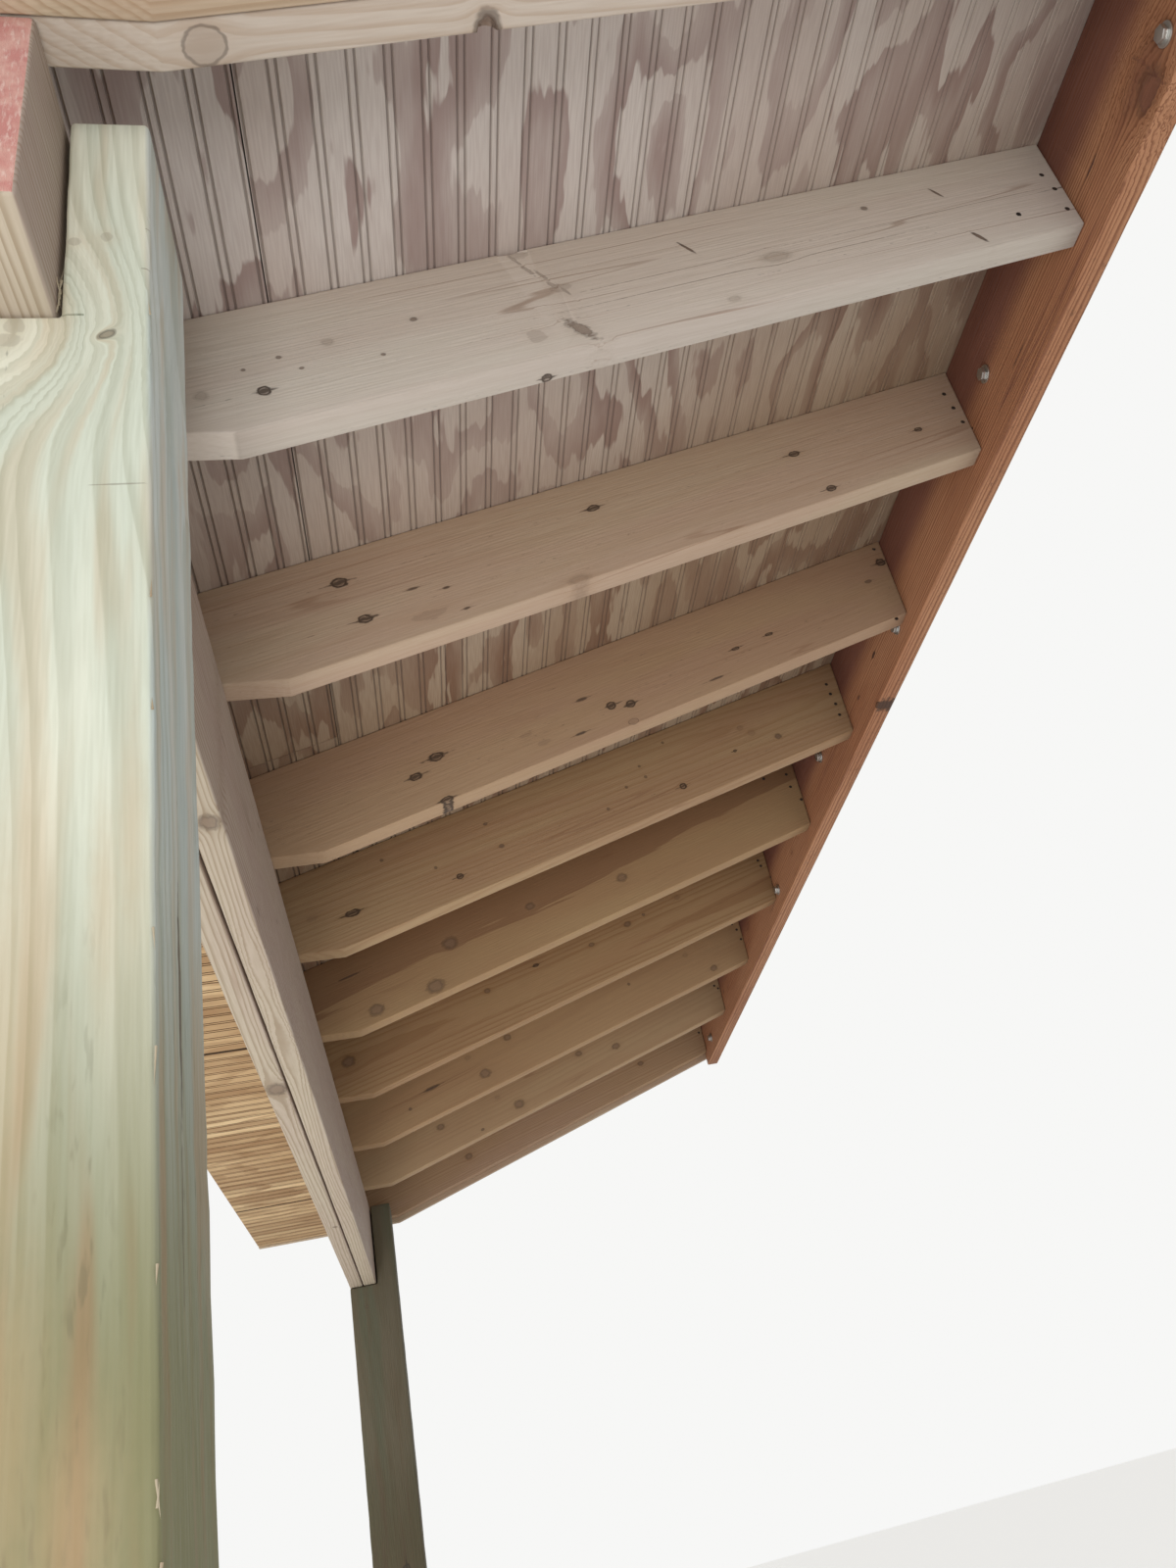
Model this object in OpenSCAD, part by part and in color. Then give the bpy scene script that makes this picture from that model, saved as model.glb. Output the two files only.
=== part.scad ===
// Lean-to porch canopy in dimension lumber.
// X runs along the wall with the near end at +X, +Y points into the wall, +Z is up.
// The origin is the centre of the ledger's back face, where it meets the wall.

/* [Ledger] */
// Thickness of the ledger board
ledger_t = 38.1; // [35:0.1:45]
// Height of the ledger board
ledger_h = 234.95; // [225:0.05:290]

/* [Rafters] */
// Thickness of a rafter
rafter_t = 38.1; // [35:0.1:45]
// Depth of a rafter, square to its length
rafter_h = 184.15; // [180:0.05:200]
// Distance from one rafter's centre to the next
rafter_spacing = 406.4; // [300:0.1:500]
// Rise of the roof over the run below
roof_rise = 4; // [3:0.25:4.5]
// Run over which the rise is measured
roof_run = 12; // [10:0.25:16]
// Level seat cut that shows on the wall side of the beam
seat_inboard = 80; // [40:1:100]
// How far the skewed rafter stands off its mark at the ledger
skew_at_wall = 10; // [-20:1:20]
// How far the skewed rafter stands off its mark at the beam
skew_at_beam = 45; // [-45:1:45]

/* [Beam] */
// Clear distance from the ledger's face to the beam
beam_clear = 1219.2; // [1000:0.1:1500]
// Thickness of one beam ply
ply_t = 38.1; // [35:0.1:40]
// Gap left between the two plies
ply_gap = 2; // [0.5:0.5:4]
// Height of a beam ply
beam_h = 234.95; // [180:0.05:290]
// How far the saw cut at the near end leans out at the beam's underside
beam_end_lean = 12; // [0:1:18]

/* [Posts] */
// Side of a square post
post_w = 139.7; // [130:0.1:190]
// Distance from the beam's end to a post's outer side
post_inset = 75; // [40:1:400]
// Gap between the beam and the post's tongue
tongue_gap = 2; // [1:0.5:4]
// Height of the beam's underside above the floor
headroom = 2240; // [1900:10:2700]

/* [Ceiling panels] */
// Thickness of the roof panels
panel_t = 15.9; // [12:0.1:19]
// Width of a whole sheet
sheet_w = 1219.2; // [1200:0.1:1250]
// Width trimmed off the upper sheets at the wall
upper_trim = 22; // [0:1:100]
// Gap at a joint between panels
panel_gap = 1.5; // [0.5:0.5:3]
// Gap between the roof panels and the wall
wall_gap = 3; // [2:0.5:10]

/* [Soffit] */
// Distance from the beam's outer face to the fascia
overhang = 262; // [150:1:290]
// Thickness of the soffit panels
soffit_t = 9.5; // [6:0.1:13]
// Length of the soffit piece at the far end
soffit_end = 444; // [200:1:900]
// Gap between the soffit's ends and the rake boards
soffit_end_gap = 4; // [0.5:0.5:6]

/* [Trim boards] */
// Thickness of the fascia and rake boards
trim_t = 19; // [15:0.5:25]
// How far the near rake board hangs below its rafter
near_rake_drop = 3; // [1:1:30]
// How far the far rake board hangs below its rafter
far_rake_drop = 14; // [1:1:30]

/* [Roofing] */
// Thickness of the lapped shingles
shingle_t = 10; // [6:0.5:14]
// How far the shingles pass the fascia
shingle_eave = 20; // [10:1:30]
// How far the shingles pass the rake boards
shingle_rake = 12; // [6:1:20]
// Thickness of the drip edges and the flashing
metal_t = 1; // [0.6:0.1:2]
// Height of a drip edge's face
drip_face = 38; // [25:1:60]
// Width of a drip edge's flange on the roof
drip_flange = 50; // [30:1:80]
// Height of the flashing's leg on the wall
flash_up = 100; // [60:1:150]
// Length of the flashing's leg on the shingles
flash_down = 100; // [60:1:150]

/* [Ledger bolts] */
// Diameter of a bolt's shank
bolt_d = 12.7; // [10:0.1:16]
// Width of a bolt's head across its flats
bolt_flats = 19; // [17:0.5:25]
// Height of a bolt's head
bolt_head = 8; // [6:0.5:12]
// Diameter of a washer
washer_d = 30; // [28:1:50]
// Thickness of a washer
washer_t = 2.5; // [1.5:0.5:4]
// Distance from the ledger's ends to the first and last bolt
bolt_first = 145; // [60:1:400]
// Largest distance along the ledger between bolts of one row
bolt_step = 1150; // [600:1:1600]
// Height of the lower bolts above the ledger's underside
bolt_low = 52; // [35:1:90]
// Height of the upper bolts above the ledger's underside
bolt_high = 120; // [100:1:180]

/* [Hidden] */
rafter_count = 10;
skewed_rafter = 4;
soffit_count = 4;
sheet_bays = 3;
hole_clearance = 0.3;
cutter_past = 1;
$fn = 48;

slope = roof_rise / roof_run;
pitch = atan(slope);
plumb_h = rafter_h / cos(pitch);

// The first and last marks are the ends of the ledger, so the spacings between them make up its length
length = (rafter_count - 1) * rafter_spacing;
near_x = length / 2;
far_x = -length / 2;

// The lower bolts are shared out evenly, and each upper bolt stands halfway between two of them
bolt_spaces = ceil((length - 2 * bolt_first) / bolt_step);
bolt_space = (length - 2 * bolt_first) / bolt_spaces;

// Depths from the wall, measured outward as negative Y
ledger_face = -ledger_t;
beam_in = ledger_face - beam_clear;
beam_w = 2 * ply_t + ply_gap;
beam_out = beam_in - beam_w;
kink_y = beam_in + seat_inboard;
tail_y = beam_out - overhang;
eave_y = tail_y - trim_t;

// Heights
ledger_top = ledger_h / 2;
ledger_low = -ledger_h / 2;
heel_low = ledger_top - plumb_h;
seat_z = heel_low + slope * (kink_y - ledger_face);
beam_low = seat_z - beam_h;
floor_z = beam_low - headroom;

// Height of the plane that lies off_t above the rafters' backs, square to the roof
function roof_z(y, off_t) = ledger_top + slope * (y - ledger_face) + off_t / cos(pitch);
function under_z(y) = max(roof_z(y, 0) - plumb_h, seat_z);

// Sheet joints: the upper sheets hang down from the wall, and the ripped ones finish the eave.
// A sheet spans three rafter bays, so that its ends land on rafters.
sheet_span = sheet_bays * rafter_spacing;
joint_y = -wall_gap - (sheet_w - upper_trim) * cos(pitch);
upper_joint_x = near_x - 2 * sheet_span;
lower_joint_x = near_x - sheet_span;
roof_top = panel_t;
felt_top = roof_top + metal_t;

// A prism along X from x0 to x1, with its outline given as depth and height
module along_wall(x0, x1) {
    translate([x0, 0, 0])
        rotate([90, 0, 90])
            linear_extrude(x1 - x0)
                children();
}

// A strip that follows the roof between two depths and two thicknesses above the rafters
module roof_strip(y_low, y_high, t_low, t_high) {
    polygon([
        [y_low, roof_z(y_low, t_low)],
        [y_high, roof_z(y_high, t_low)],
        [y_high, roof_z(y_high, t_high)],
        [y_low, roof_z(y_low, t_high)]
    ]);
}

function bolt_x(i, row) = near_x - bolt_first - (i + row / 2) * bolt_space;

// Places a child at each bolt on the ledger's face, pointing out of the wall
module at_bolts() {
    for (i = [0:bolt_spaces])
        translate([bolt_x(i, 0), ledger_face, ledger_low + bolt_low])
            rotate([90, 0, 0])
                children();
    for (i = [0:bolt_spaces - 1])
        translate([bolt_x(i, 1), ledger_face, ledger_low + bolt_high])
            rotate([90, 0, 0])
                children();
}

module ledger() {
    color("peru")
        difference() {
            translate([far_x, ledger_face, ledger_low])
                cube([length, ledger_t, ledger_h]);
            at_bolts()
                translate([0, 0, -ledger_t - cutter_past])
                    cylinder(d = bolt_d + hole_clearance, h = ledger_t + 2 * cutter_past);
        }
}

module ledger_bolts() {
    color("silver")
        at_bolts() {
            translate([0, 0, -ledger_t])
                cylinder(d = bolt_d, h = ledger_t + washer_t);
            cylinder(d = washer_d, h = washer_t);
            translate([0, 0, washer_t])
                cylinder(d = bolt_flats / cos(30), h = bolt_head, $fn = 6);
        }
}

module rafter_outline() {
    polygon([
        [ledger_face, heel_low],
        [ledger_face, ledger_top],
        [tail_y, roof_z(tail_y, 0)],
        [tail_y, seat_z],
        [kink_y, seat_z]
    ]);
}

// The end rafters are flush with the ledger's ends, and the others are centred on their marks
function rafter_x(i) =
    i == 1 ? near_x - rafter_t / 2 :
    i == rafter_count ? far_x + rafter_t / 2 :
    near_x - (i - 1) * rafter_spacing;

module rafter(i) {
    turn = atan((skew_at_beam - skew_at_wall) / beam_clear);
    color("wheat")
        if (i == skewed_rafter)
            intersection() {
                along_wall(rafter_x(i) - rafter_spacing, rafter_x(i) + rafter_spacing)
                    rafter_outline();
                translate([rafter_x(i) - skew_at_wall, ledger_face, seat_z - cutter_past])
                    rotate([0, 0, -turn])
                        translate([-rafter_t / 2, 2 * tail_y, 0])
                            cube([rafter_t, -3 * tail_y, ledger_top - seat_z + 2 * cutter_past]);
            }
        else
            along_wall(rafter_x(i) - rafter_t / 2, rafter_x(i) + rafter_t / 2)
                rafter_outline();
}

// The cut at the near end leans out below the rake board
module beam_ply(y_out) {
    color("burlywood")
        translate([0, y_out + ply_t, 0])
            rotate([90, 0, 0])
                linear_extrude(ply_t)
                    polygon([
                        [far_x, beam_low],
                        [near_x + beam_end_lean, beam_low],
                        [near_x, seat_z - near_rake_drop],
                        [near_x, seat_z],
                        [far_x, seat_z]
                    ]);
}

module beam_inner_ply() {
    beam_ply(beam_in - ply_t);
}

module beam_outer_ply() {
    beam_ply(beam_out);
}

// A post is notched on its outer side, and its tongue stands behind the beam
module post(x0) {
    color("palegoldenrod")
        difference() {
            translate([x0, beam_out, floor_z])
                cube([post_w, post_w, seat_z - floor_z]);
            translate([x0 - cutter_past, beam_out - cutter_past, beam_low])
                cube([
                    post_w + 2 * cutter_past,
                    beam_w + tongue_gap + cutter_past,
                    beam_h + cutter_past
                ]);
        }
}

module near_post() {
    post(near_x - post_inset - post_w);
}

module far_post() {
    post(far_x + post_inset);
}

module ceiling_panel(x0, x1, y_low, y_high) {
    color("antiquewhite")
        along_wall(x0, x1)
            roof_strip(y_low, y_high, 0, roof_top);
}

module ceiling_upper_near() {
    ceiling_panel(upper_joint_x + panel_gap / 2, near_x, joint_y + panel_gap, -wall_gap);
}

module ceiling_upper_far() {
    ceiling_panel(far_x, upper_joint_x - panel_gap / 2, joint_y + panel_gap, -wall_gap);
}

module ceiling_lower_near() {
    ceiling_panel(lower_joint_x + panel_gap / 2, near_x, eave_y, joint_y);
}

module ceiling_lower_far() {
    ceiling_panel(far_x, lower_joint_x - panel_gap / 2, eave_y, joint_y);
}

// Soffit joints are three bays apart, counted from the piece at the far end
function soffit_joint(i) =
    i == 0 ? near_x :
    i == soffit_count ? far_x :
    far_x + soffit_end + (soffit_count - 1 - i) * sheet_span;

module soffit(i) {
    x0 = soffit_joint(i) + (i == soffit_count ? soffit_end_gap : panel_gap / 2);
    x1 = soffit_joint(i - 1) - (i == 1 ? soffit_end_gap : panel_gap / 2);
    color("sandybrown")
        translate([x0, eave_y, seat_z - soffit_t])
            cube([x1 - x0, beam_out - eave_y, soffit_t]);
}

module fascia() {
    color("tan")
        along_wall(far_x, near_x)
            polygon([
                [eave_y, seat_z],
                [tail_y, seat_z],
                [tail_y, roof_z(tail_y, 0)],
                [eave_y, roof_z(eave_y, 0)]
            ]);
}

// A rake board closes the end rafter, the roof panels' edge and the fascia's end
module rake_board(x0, drop) {
    color("tan")
        along_wall(x0, x0 + trim_t)
            polygon([
                [-wall_gap, under_z(-wall_gap) - drop],
                [-wall_gap, roof_z(-wall_gap, roof_top)],
                [eave_y, roof_z(eave_y, roof_top)],
                [eave_y, seat_z - drop],
                [kink_y, seat_z - drop]
            ]);
}

module near_rake_board() {
    rake_board(near_x, near_rake_drop);
}

module far_rake_board() {
    rake_board(far_x - trim_t, far_rake_drop);
}

module eave_drip_edge() {
    color("gainsboro")
        along_wall(far_x - trim_t, near_x + trim_t)
            union() {
                polygon([
                    [eave_y - metal_t, roof_z(eave_y, roof_top) - drip_face],
                    [eave_y, roof_z(eave_y, roof_top) - drip_face],
                    [eave_y, roof_z(eave_y, roof_top + metal_t)],
                    [eave_y - metal_t, roof_z(eave_y - metal_t, roof_top + metal_t)]
                ]);
                roof_strip(eave_y - metal_t / 2, eave_y + drip_flange, roof_top, roof_top + metal_t);
            }
}

// A rake's drip edge: its face hangs on the rake board, and its flange stops at the eave's
module rake_drip_edge(face_x, flange_x) {
    color("gainsboro") {
        along_wall(face_x, face_x + metal_t)
            roof_strip(eave_y - metal_t, -wall_gap, roof_top - drip_face, roof_top + metal_t);
        along_wall(flange_x, flange_x + drip_flange)
            roof_strip(eave_y + drip_flange, -wall_gap, roof_top, roof_top + metal_t);
    }
}

module near_drip_edge() {
    rake_drip_edge(near_x + trim_t, near_x + trim_t - drip_flange);
}

module far_drip_edge() {
    rake_drip_edge(far_x - trim_t - metal_t, far_x - trim_t);
}

// Felt covers the panels between the drip edges' flanges, and is as thick as they are
module roof_felt() {
    inset = drip_flange - trim_t;
    color("black")
        along_wall(far_x + inset, near_x - inset)
            roof_strip(eave_y + drip_flange, -wall_gap, roof_top, roof_top + metal_t);
}

module shingles() {
    over = trim_t + shingle_rake;
    color("dimgray")
        along_wall(far_x - over, near_x + over)
            roof_strip(eave_y - shingle_eave, -wall_gap, felt_top, felt_top + shingle_t);
}

module wall_flashing() {
    top_t = felt_top + shingle_t;
    over = trim_t + shingle_rake;
    color("silver")
        along_wall(far_x - over, near_x + over)
            union() {
                polygon([
                    [-metal_t, roof_z(-metal_t, top_t)],
                    [0, roof_z(0, top_t)],
                    [0, roof_z(0, top_t) + flash_up],
                    [-metal_t, roof_z(0, top_t) + flash_up]
                ]);
                roof_strip(-flash_down, -metal_t / 2, top_t, top_t + metal_t);
            }
}

ledger();
for (i = [1:rafter_count]) rafter(i);
beam_inner_ply();
beam_outer_ply();
near_post();
far_post();
ceiling_upper_near();
ceiling_upper_far();
ceiling_lower_near();
ceiling_lower_far();
for (i = [1:soffit_count]) soffit(i);
fascia();
near_rake_board();
far_rake_board();
roof_felt();
shingles();
eave_drip_edge();
near_drip_edge();
far_drip_edge();
wall_flashing();
ledger_bolts();
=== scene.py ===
import math
import random

import bpy
from mathutils import Matrix, Vector


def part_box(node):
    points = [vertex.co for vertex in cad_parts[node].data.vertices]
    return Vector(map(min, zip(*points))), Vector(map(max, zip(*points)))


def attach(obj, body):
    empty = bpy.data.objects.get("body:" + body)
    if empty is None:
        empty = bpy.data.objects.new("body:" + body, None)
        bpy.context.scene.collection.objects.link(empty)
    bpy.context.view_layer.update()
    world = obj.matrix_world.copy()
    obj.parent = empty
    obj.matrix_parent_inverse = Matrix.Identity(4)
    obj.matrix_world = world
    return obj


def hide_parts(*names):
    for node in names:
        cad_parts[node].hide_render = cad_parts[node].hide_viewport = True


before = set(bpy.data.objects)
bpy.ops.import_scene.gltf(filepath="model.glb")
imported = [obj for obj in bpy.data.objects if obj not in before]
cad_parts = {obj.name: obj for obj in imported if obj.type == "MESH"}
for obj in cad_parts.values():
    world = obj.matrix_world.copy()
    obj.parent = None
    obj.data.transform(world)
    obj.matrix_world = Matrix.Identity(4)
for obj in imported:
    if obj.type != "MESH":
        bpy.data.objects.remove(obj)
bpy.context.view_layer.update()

mm = 0.001
roofPitch = math.atan2(4, 12)
slopeDown = Vector((0, -math.cos(roofPitch), -math.sin(roofPitch)))
roofUp = Vector((0, -math.sin(roofPitch), math.cos(roofPitch)))
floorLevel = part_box("near_post")[0].z


# Object helpers

def deselectAll():
    if bpy.context.mode != "OBJECT":
        bpy.ops.object.mode_set(mode="OBJECT")
    bpy.ops.object.select_all(action="DESELECT")


def pick(piece):
    deselectAll()
    piece.select_set(True)
    bpy.context.view_layer.objects.active = piece


def editAll(piece):
    pick(piece)
    bpy.ops.object.mode_set(mode="EDIT")
    bpy.ops.mesh.select_mode(type="VERT")
    bpy.ops.mesh.select_all(action="SELECT")


def editSome(piece, test):  # selects the vertices whose place passes the test
    editAll(piece)
    bpy.ops.mesh.select_all(action="DESELECT")
    leaveEdit()
    for vertex in piece.data.vertices:
        vertex.select = test(vertex.co)
    bpy.ops.object.mode_set(mode="EDIT")


def leaveEdit():
    bpy.ops.object.mode_set(mode="OBJECT")


def applyPlace(piece):
    pick(piece)
    bpy.ops.object.transform_apply(location=True, rotation=True, scale=True)


def applyModifier(piece, name, kind, **settings):
    pick(piece)
    modifier = piece.modifiers.new(name, kind)
    for key, value in settings.items():
        setattr(modifier, key, value)
    bpy.ops.object.modifier_apply(modifier=modifier.name)


def nameIt(piece, name):
    piece.name = name
    piece.data.name = name
    return piece


def startBox(name, low, high):
    low, high = Vector(low), Vector(high)
    deselectAll()
    bpy.ops.mesh.primitive_cube_add(size=1, location=(low + high) / 2)
    piece = nameIt(bpy.context.object, name)
    piece.scale = high - low
    applyPlace(piece)
    return piece


def cutOff(piece, point, normal):  # takes away what lies on the normal's side of the plane
    editAll(piece)
    bpy.ops.mesh.bisect(plane_co=point, plane_no=normal, use_fill=True, clear_outer=True)
    leaveEdit()


def sliceAlong(piece, start, end, count):  # adds cross cuts, so that a long face can be shaped
    start, end = Vector(start), Vector(end)
    for i in range(1, count):
        editAll(piece)
        bpy.ops.mesh.bisect(plane_co=start.lerp(end, i / count), plane_no=end - start)
    leaveEdit()


def easeArrises(piece, width, segments=3, angle=40):
    applyModifier(piece, "ease", "BEVEL", width=width, segments=segments, limit_method="ANGLE",
                  angle_limit=math.radians(angle))


def unevenFaces(piece, strength, size):  # the small waviness of sawn and planed stock, inwards only
    clouds = bpy.data.textures.new(piece.name + "Clouds", "CLOUDS")
    clouds.noise_scale = size
    clouds.noise_depth = 2
    applyModifier(piece, "uneven", "DISPLACE", texture=clouds, texture_coords="LOCAL",
                  strength=strength, mid_level=1.0)


def workBoard(board, settings, start, end):  # eased, sliced and roughened between its two ends
    easeArrises(board, settings["ease"] * mm)
    sliceAlong(board, start, end, settings["slices"])
    unevenFaces(board, settings["uneven"] * mm, settings["cloud"])


def smoothByAngle(piece, angle=32):
    pick(piece)
    bpy.ops.object.shade_smooth_by_angle(angle=math.radians(angle))


def joinAll(pieces, name):
    deselectAll()
    for piece in pieces:
        piece.select_set(True)
    bpy.context.view_layer.objects.active = pieces[0]
    bpy.ops.object.join()
    return nameIt(pieces[0], name)


def copyOf(piece, name):
    twin = piece.copy()
    twin.data = piece.data.copy()
    bpy.context.scene.collection.objects.link(twin)
    return nameIt(twin, name)


def scatter(model, name, places):  # copies of the model at each place and turn, joined in one piece
    twins = []
    for order, (place, turn) in enumerate(places):
        twin = copyOf(model, f"{name}{order}")
        twin.location = place
        twin.rotation_euler = [math.radians(angle) for angle in turn]
        applyPlace(twin)
        twins.append(twin)
    bpy.data.objects.remove(model)
    return joinAll(twins, name)


def subtract(piece, tool):
    applyModifier(piece, "carve", "BOOLEAN", operation="DIFFERENCE", solver="EXACT", use_self=True,
                  object=tool)
    bpy.data.objects.remove(tool)


def carveHollows(piece, hollows, rough=0.15):  # rows of centre in m, size in mm and turn in degrees
    tools = []
    for order, (centre, size, turn) in enumerate(hollows):
        deselectAll()
        bpy.ops.mesh.primitive_uv_sphere_add(segments=12, ring_count=7, radius=1)
        tool = bpy.context.object
        bpy.ops.object.mode_set(mode="EDIT")
        bpy.ops.mesh.select_all(action="SELECT")
        bpy.ops.transform.vertex_random(offset=rough, seed=order + 1)
        leaveEdit()
        tool.scale = Vector(size) * mm
        tool.rotation_euler = [math.radians(a) for a in turn]
        tool.location = centre
        applyPlace(tool)
        tools.append(tool)
    subtract(piece, joinAll(tools, "hollows"))


def finishPiece(piece, material, nodes=()):
    piece.data.materials.clear()
    piece.data.materials.append(material)
    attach(piece, "root")
    if nodes:
        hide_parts(*nodes)
    return piece


# Shader helpers

class nodeGraph:  # a node tree in the making, whose calls take numbers or sockets
    def __init__(self, tree):
        self.tree = tree

    def feed(self, socket, value):
        if isinstance(value, bpy.types.NodeSocket):
            self.tree.links.new(value, socket)
        else:
            socket.default_value = value

    def made(self, kind, values=(), **settings):  # the values go by socket name or number, or in order
        node = self.tree.nodes.new("ShaderNode" + kind)
        for key, value in settings.items():
            setattr(node, key, value)
        for key, value in values.items() if isinstance(values, dict) else enumerate(values):
            self.feed(node.inputs[key], value)
        return node

    def calc(self, operation, *values, clamp=False):
        return self.made("Math", values, operation=operation, use_clamp=clamp).outputs[0]

    def times(self, *values):
        return self.calc("MULTIPLY", *values)

    def plus(self, *values):
        return self.calc("ADD", *values)

    def minus(self, *values):
        return self.calc("SUBTRACT", *values)

    def vector(self, operation, *values):
        node = self.made("VectorMath", values, operation=operation)
        return node.outputs["Value" if operation == "LENGTH" else "Vector"]

    def fade(self, value, start, end, low=0.0, high=1.0):
        values = (value, start, end, low, high)
        return self.made("MapRange", values, interpolation_type="SMOOTHSTEP").outputs[0]

    def noise(self, vector, scale, detail=2.0, rough=0.5):  # scale is one number, or one for each axis
        if isinstance(scale, tuple):
            vector, scale = self.vector("MULTIPLY", vector, scale), 1.0
        values = dict(Vector=vector, Scale=scale, Detail=detail, Roughness=rough)
        return self.made("TexNoise", values).outputs["Fac"]

    def mix(self, factor, first, second):
        return self.made("Mix", {0: factor, 6: first, 7: second}, data_type="RGBA").outputs[2]

    def coat(self, colour, over, mask, share):  # lays a second colour over the first where the mask shows
        return self.mix(self.times(mask, share), colour, over)

    def split(self, vector):
        return self.made("SeparateXYZ", (vector,)).outputs

    def join(self, *values):
        return self.made("CombineXYZ", values).outputs[0]

    def group(self, group, **values):
        return self.made("Group", values, node_tree=group).outputs


def startGroup(name, inputs, outputs):
    tree = bpy.data.node_groups.new(name, "ShaderNodeTree")
    for label, value in inputs.items():
        kind = {1: "Float", 3: "Vector", 4: "Color"}[len(value) if isinstance(value, tuple) else 1]
        socket = tree.interface.new_socket(name=label, in_out="INPUT", socket_type="NodeSocket" + kind)
        socket.default_value = value
    for label in outputs:
        kind = label if label in ("Vector", "Color") else "Float"
        tree.interface.new_socket(name=label, in_out="OUTPUT", socket_type="NodeSocket" + kind)
    return nodeGraph(tree), tree.nodes.new("NodeGroupInput").outputs, tree.nodes.new("NodeGroupOutput").inputs


def rgb(red, green, blue):
    return (red, green, blue, 1.0)


# Shader groups

nowhere = (0, 0, 0)
knotInputs = dict(Knot=0.0, Dark=0.0, Halo=0.0)
ringInputs = dict(Vector=nowhere, Pith=nowhere, Lean=0.02, Spacing=0.005, Wander=0.02, Seed=0.0)


def makeRingsGroup():  # rings round a leaning pith, so that every face of a board cuts them truly
    g, given, out = startGroup("growthRings", ringInputs, ("Late", "Radius", "Tone", "Fibre"))
    seed = given["Seed"]
    place = g.vector("ADD", given["Vector"], g.join(g.times(seed, 3.7), seed, seed))
    drift = g.times(g.minus(g.noise(place, (0.9, 7.0, 7.0), 1.0, 0.4), 0.5), given["Wander"])
    along, across, deep = g.split(given["Vector"])
    pithAcross, pithDeep = g.split(given["Pith"])[1:]
    across = g.plus(g.minus(g.minus(across, pithAcross), g.times(along, given["Lean"])), drift)
    deep = g.minus(g.minus(deep, pithDeep), drift)
    radius = g.calc("SQRT", g.plus(g.times(across, across), g.times(deep, deep)))
    jitter = g.times(g.noise(place, (14.0, 160.0, 160.0), 0.0), 0.0016)
    rings = g.calc("DIVIDE", g.plus(radius, jitter), given["Spacing"])
    widths = g.noise(g.join(g.times(rings, 0.31), seed, 0.0), 1.0, 0.0)
    ring = g.calc("FRACT", g.plus(rings, g.times(widths, 2.4)))
    g.feed(out["Late"], g.times(g.fade(ring, 0.4, 0.88), g.fade(ring, 0.93, 1.0, 1.0, 0.0)))
    g.feed(out["Radius"], radius)
    g.feed(out["Tone"], g.noise(place, (1.8, 13.0, 13.0), 1.0))
    g.feed(out["Fibre"], g.noise(place, (22.0, 500.0, 500.0), 0.0))
    return g.tree


def makeKnotGroup():
    g, given, out = startGroup("knotInGrain", dict(
        knotInputs, Vector=nowhere, Fray=0.0, Place=nowhere, Size=(0.01, 0.01, 1.0), Slant=0.0, Pull=nowhere,
        Lift=nowhere, Fill=0.5, Rim=0.5, Glow=0.5, Band=0.45, Rag=0.7), ("Vector", "Knot", "Dark", "Halo"))
    offset = g.vector("SUBTRACT", given["Vector"], given["Place"])
    x, y, z = g.split(offset)
    slanted = g.join(g.calc("MULTIPLY_ADD", y, given["Slant"], x), y, z)
    reach = g.vector("LENGTH", g.vector("DIVIDE", slanted, given["Size"]))
    distance = g.calc("MULTIPLY_ADD", given["Fray"], given["Rag"], reach)
    core = g.fade(distance, 0.8, 1.0, 1.0, 0.0)
    fromRim = g.calc("ABSOLUTE", g.minus(distance, 0.97))
    rim = g.fade(fromRim, g.times(given["Band"], 0.2), given["Band"], 1.0, 0.0)
    glow = g.calc("EXPONENT", g.times(g.times(distance, distance), -0.33))
    bend = g.vector("MULTIPLY_ADD", offset, given["Pull"], given["Lift"])
    g.feed(out["Vector"], g.vector("SUBTRACT", given["Vector"], g.vector("MULTIPLY", bend, glow)))
    for label, mask, share in (("Knot", core, "Fill"), ("Dark", rim, "Rim"), ("Halo", glow, "Glow")):
        g.feed(out[label], g.calc("MAXIMUM", given[label], g.times(mask, given[share])))
    return g.tree


def makeTailGroup():  # the dark points at a knot's two ends, along the grain
    g, given, out = startGroup("knotTail", dict(
        Vector=nowhere, Fray=0.0, Dark=0.0, Place=nowhere, Size=(0.01, 0.01, 1.0), Tail=0.5), ("Dark",))
    offset = g.vector("SUBTRACT", given["Vector"], given["Place"])
    u, v, w = g.split(g.vector("ABSOLUTE", g.vector("DIVIDE", offset, given["Size"])))
    taper = g.calc("MULTIPLY_ADD", u, -0.31, 1.0, clamp=True)
    sideways = g.calc("MULTIPLY_ADD", given["Fray"], 0.8, g.plus(v, w))
    inside = g.calc("MULTIPLY", g.minus(g.times(taper, 0.7), sideways), 3.0, clamp=True)
    g.feed(out["Dark"], g.calc("MAXIMUM", given["Dark"], g.times(inside, given["Tail"])))
    return g.tree


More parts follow.
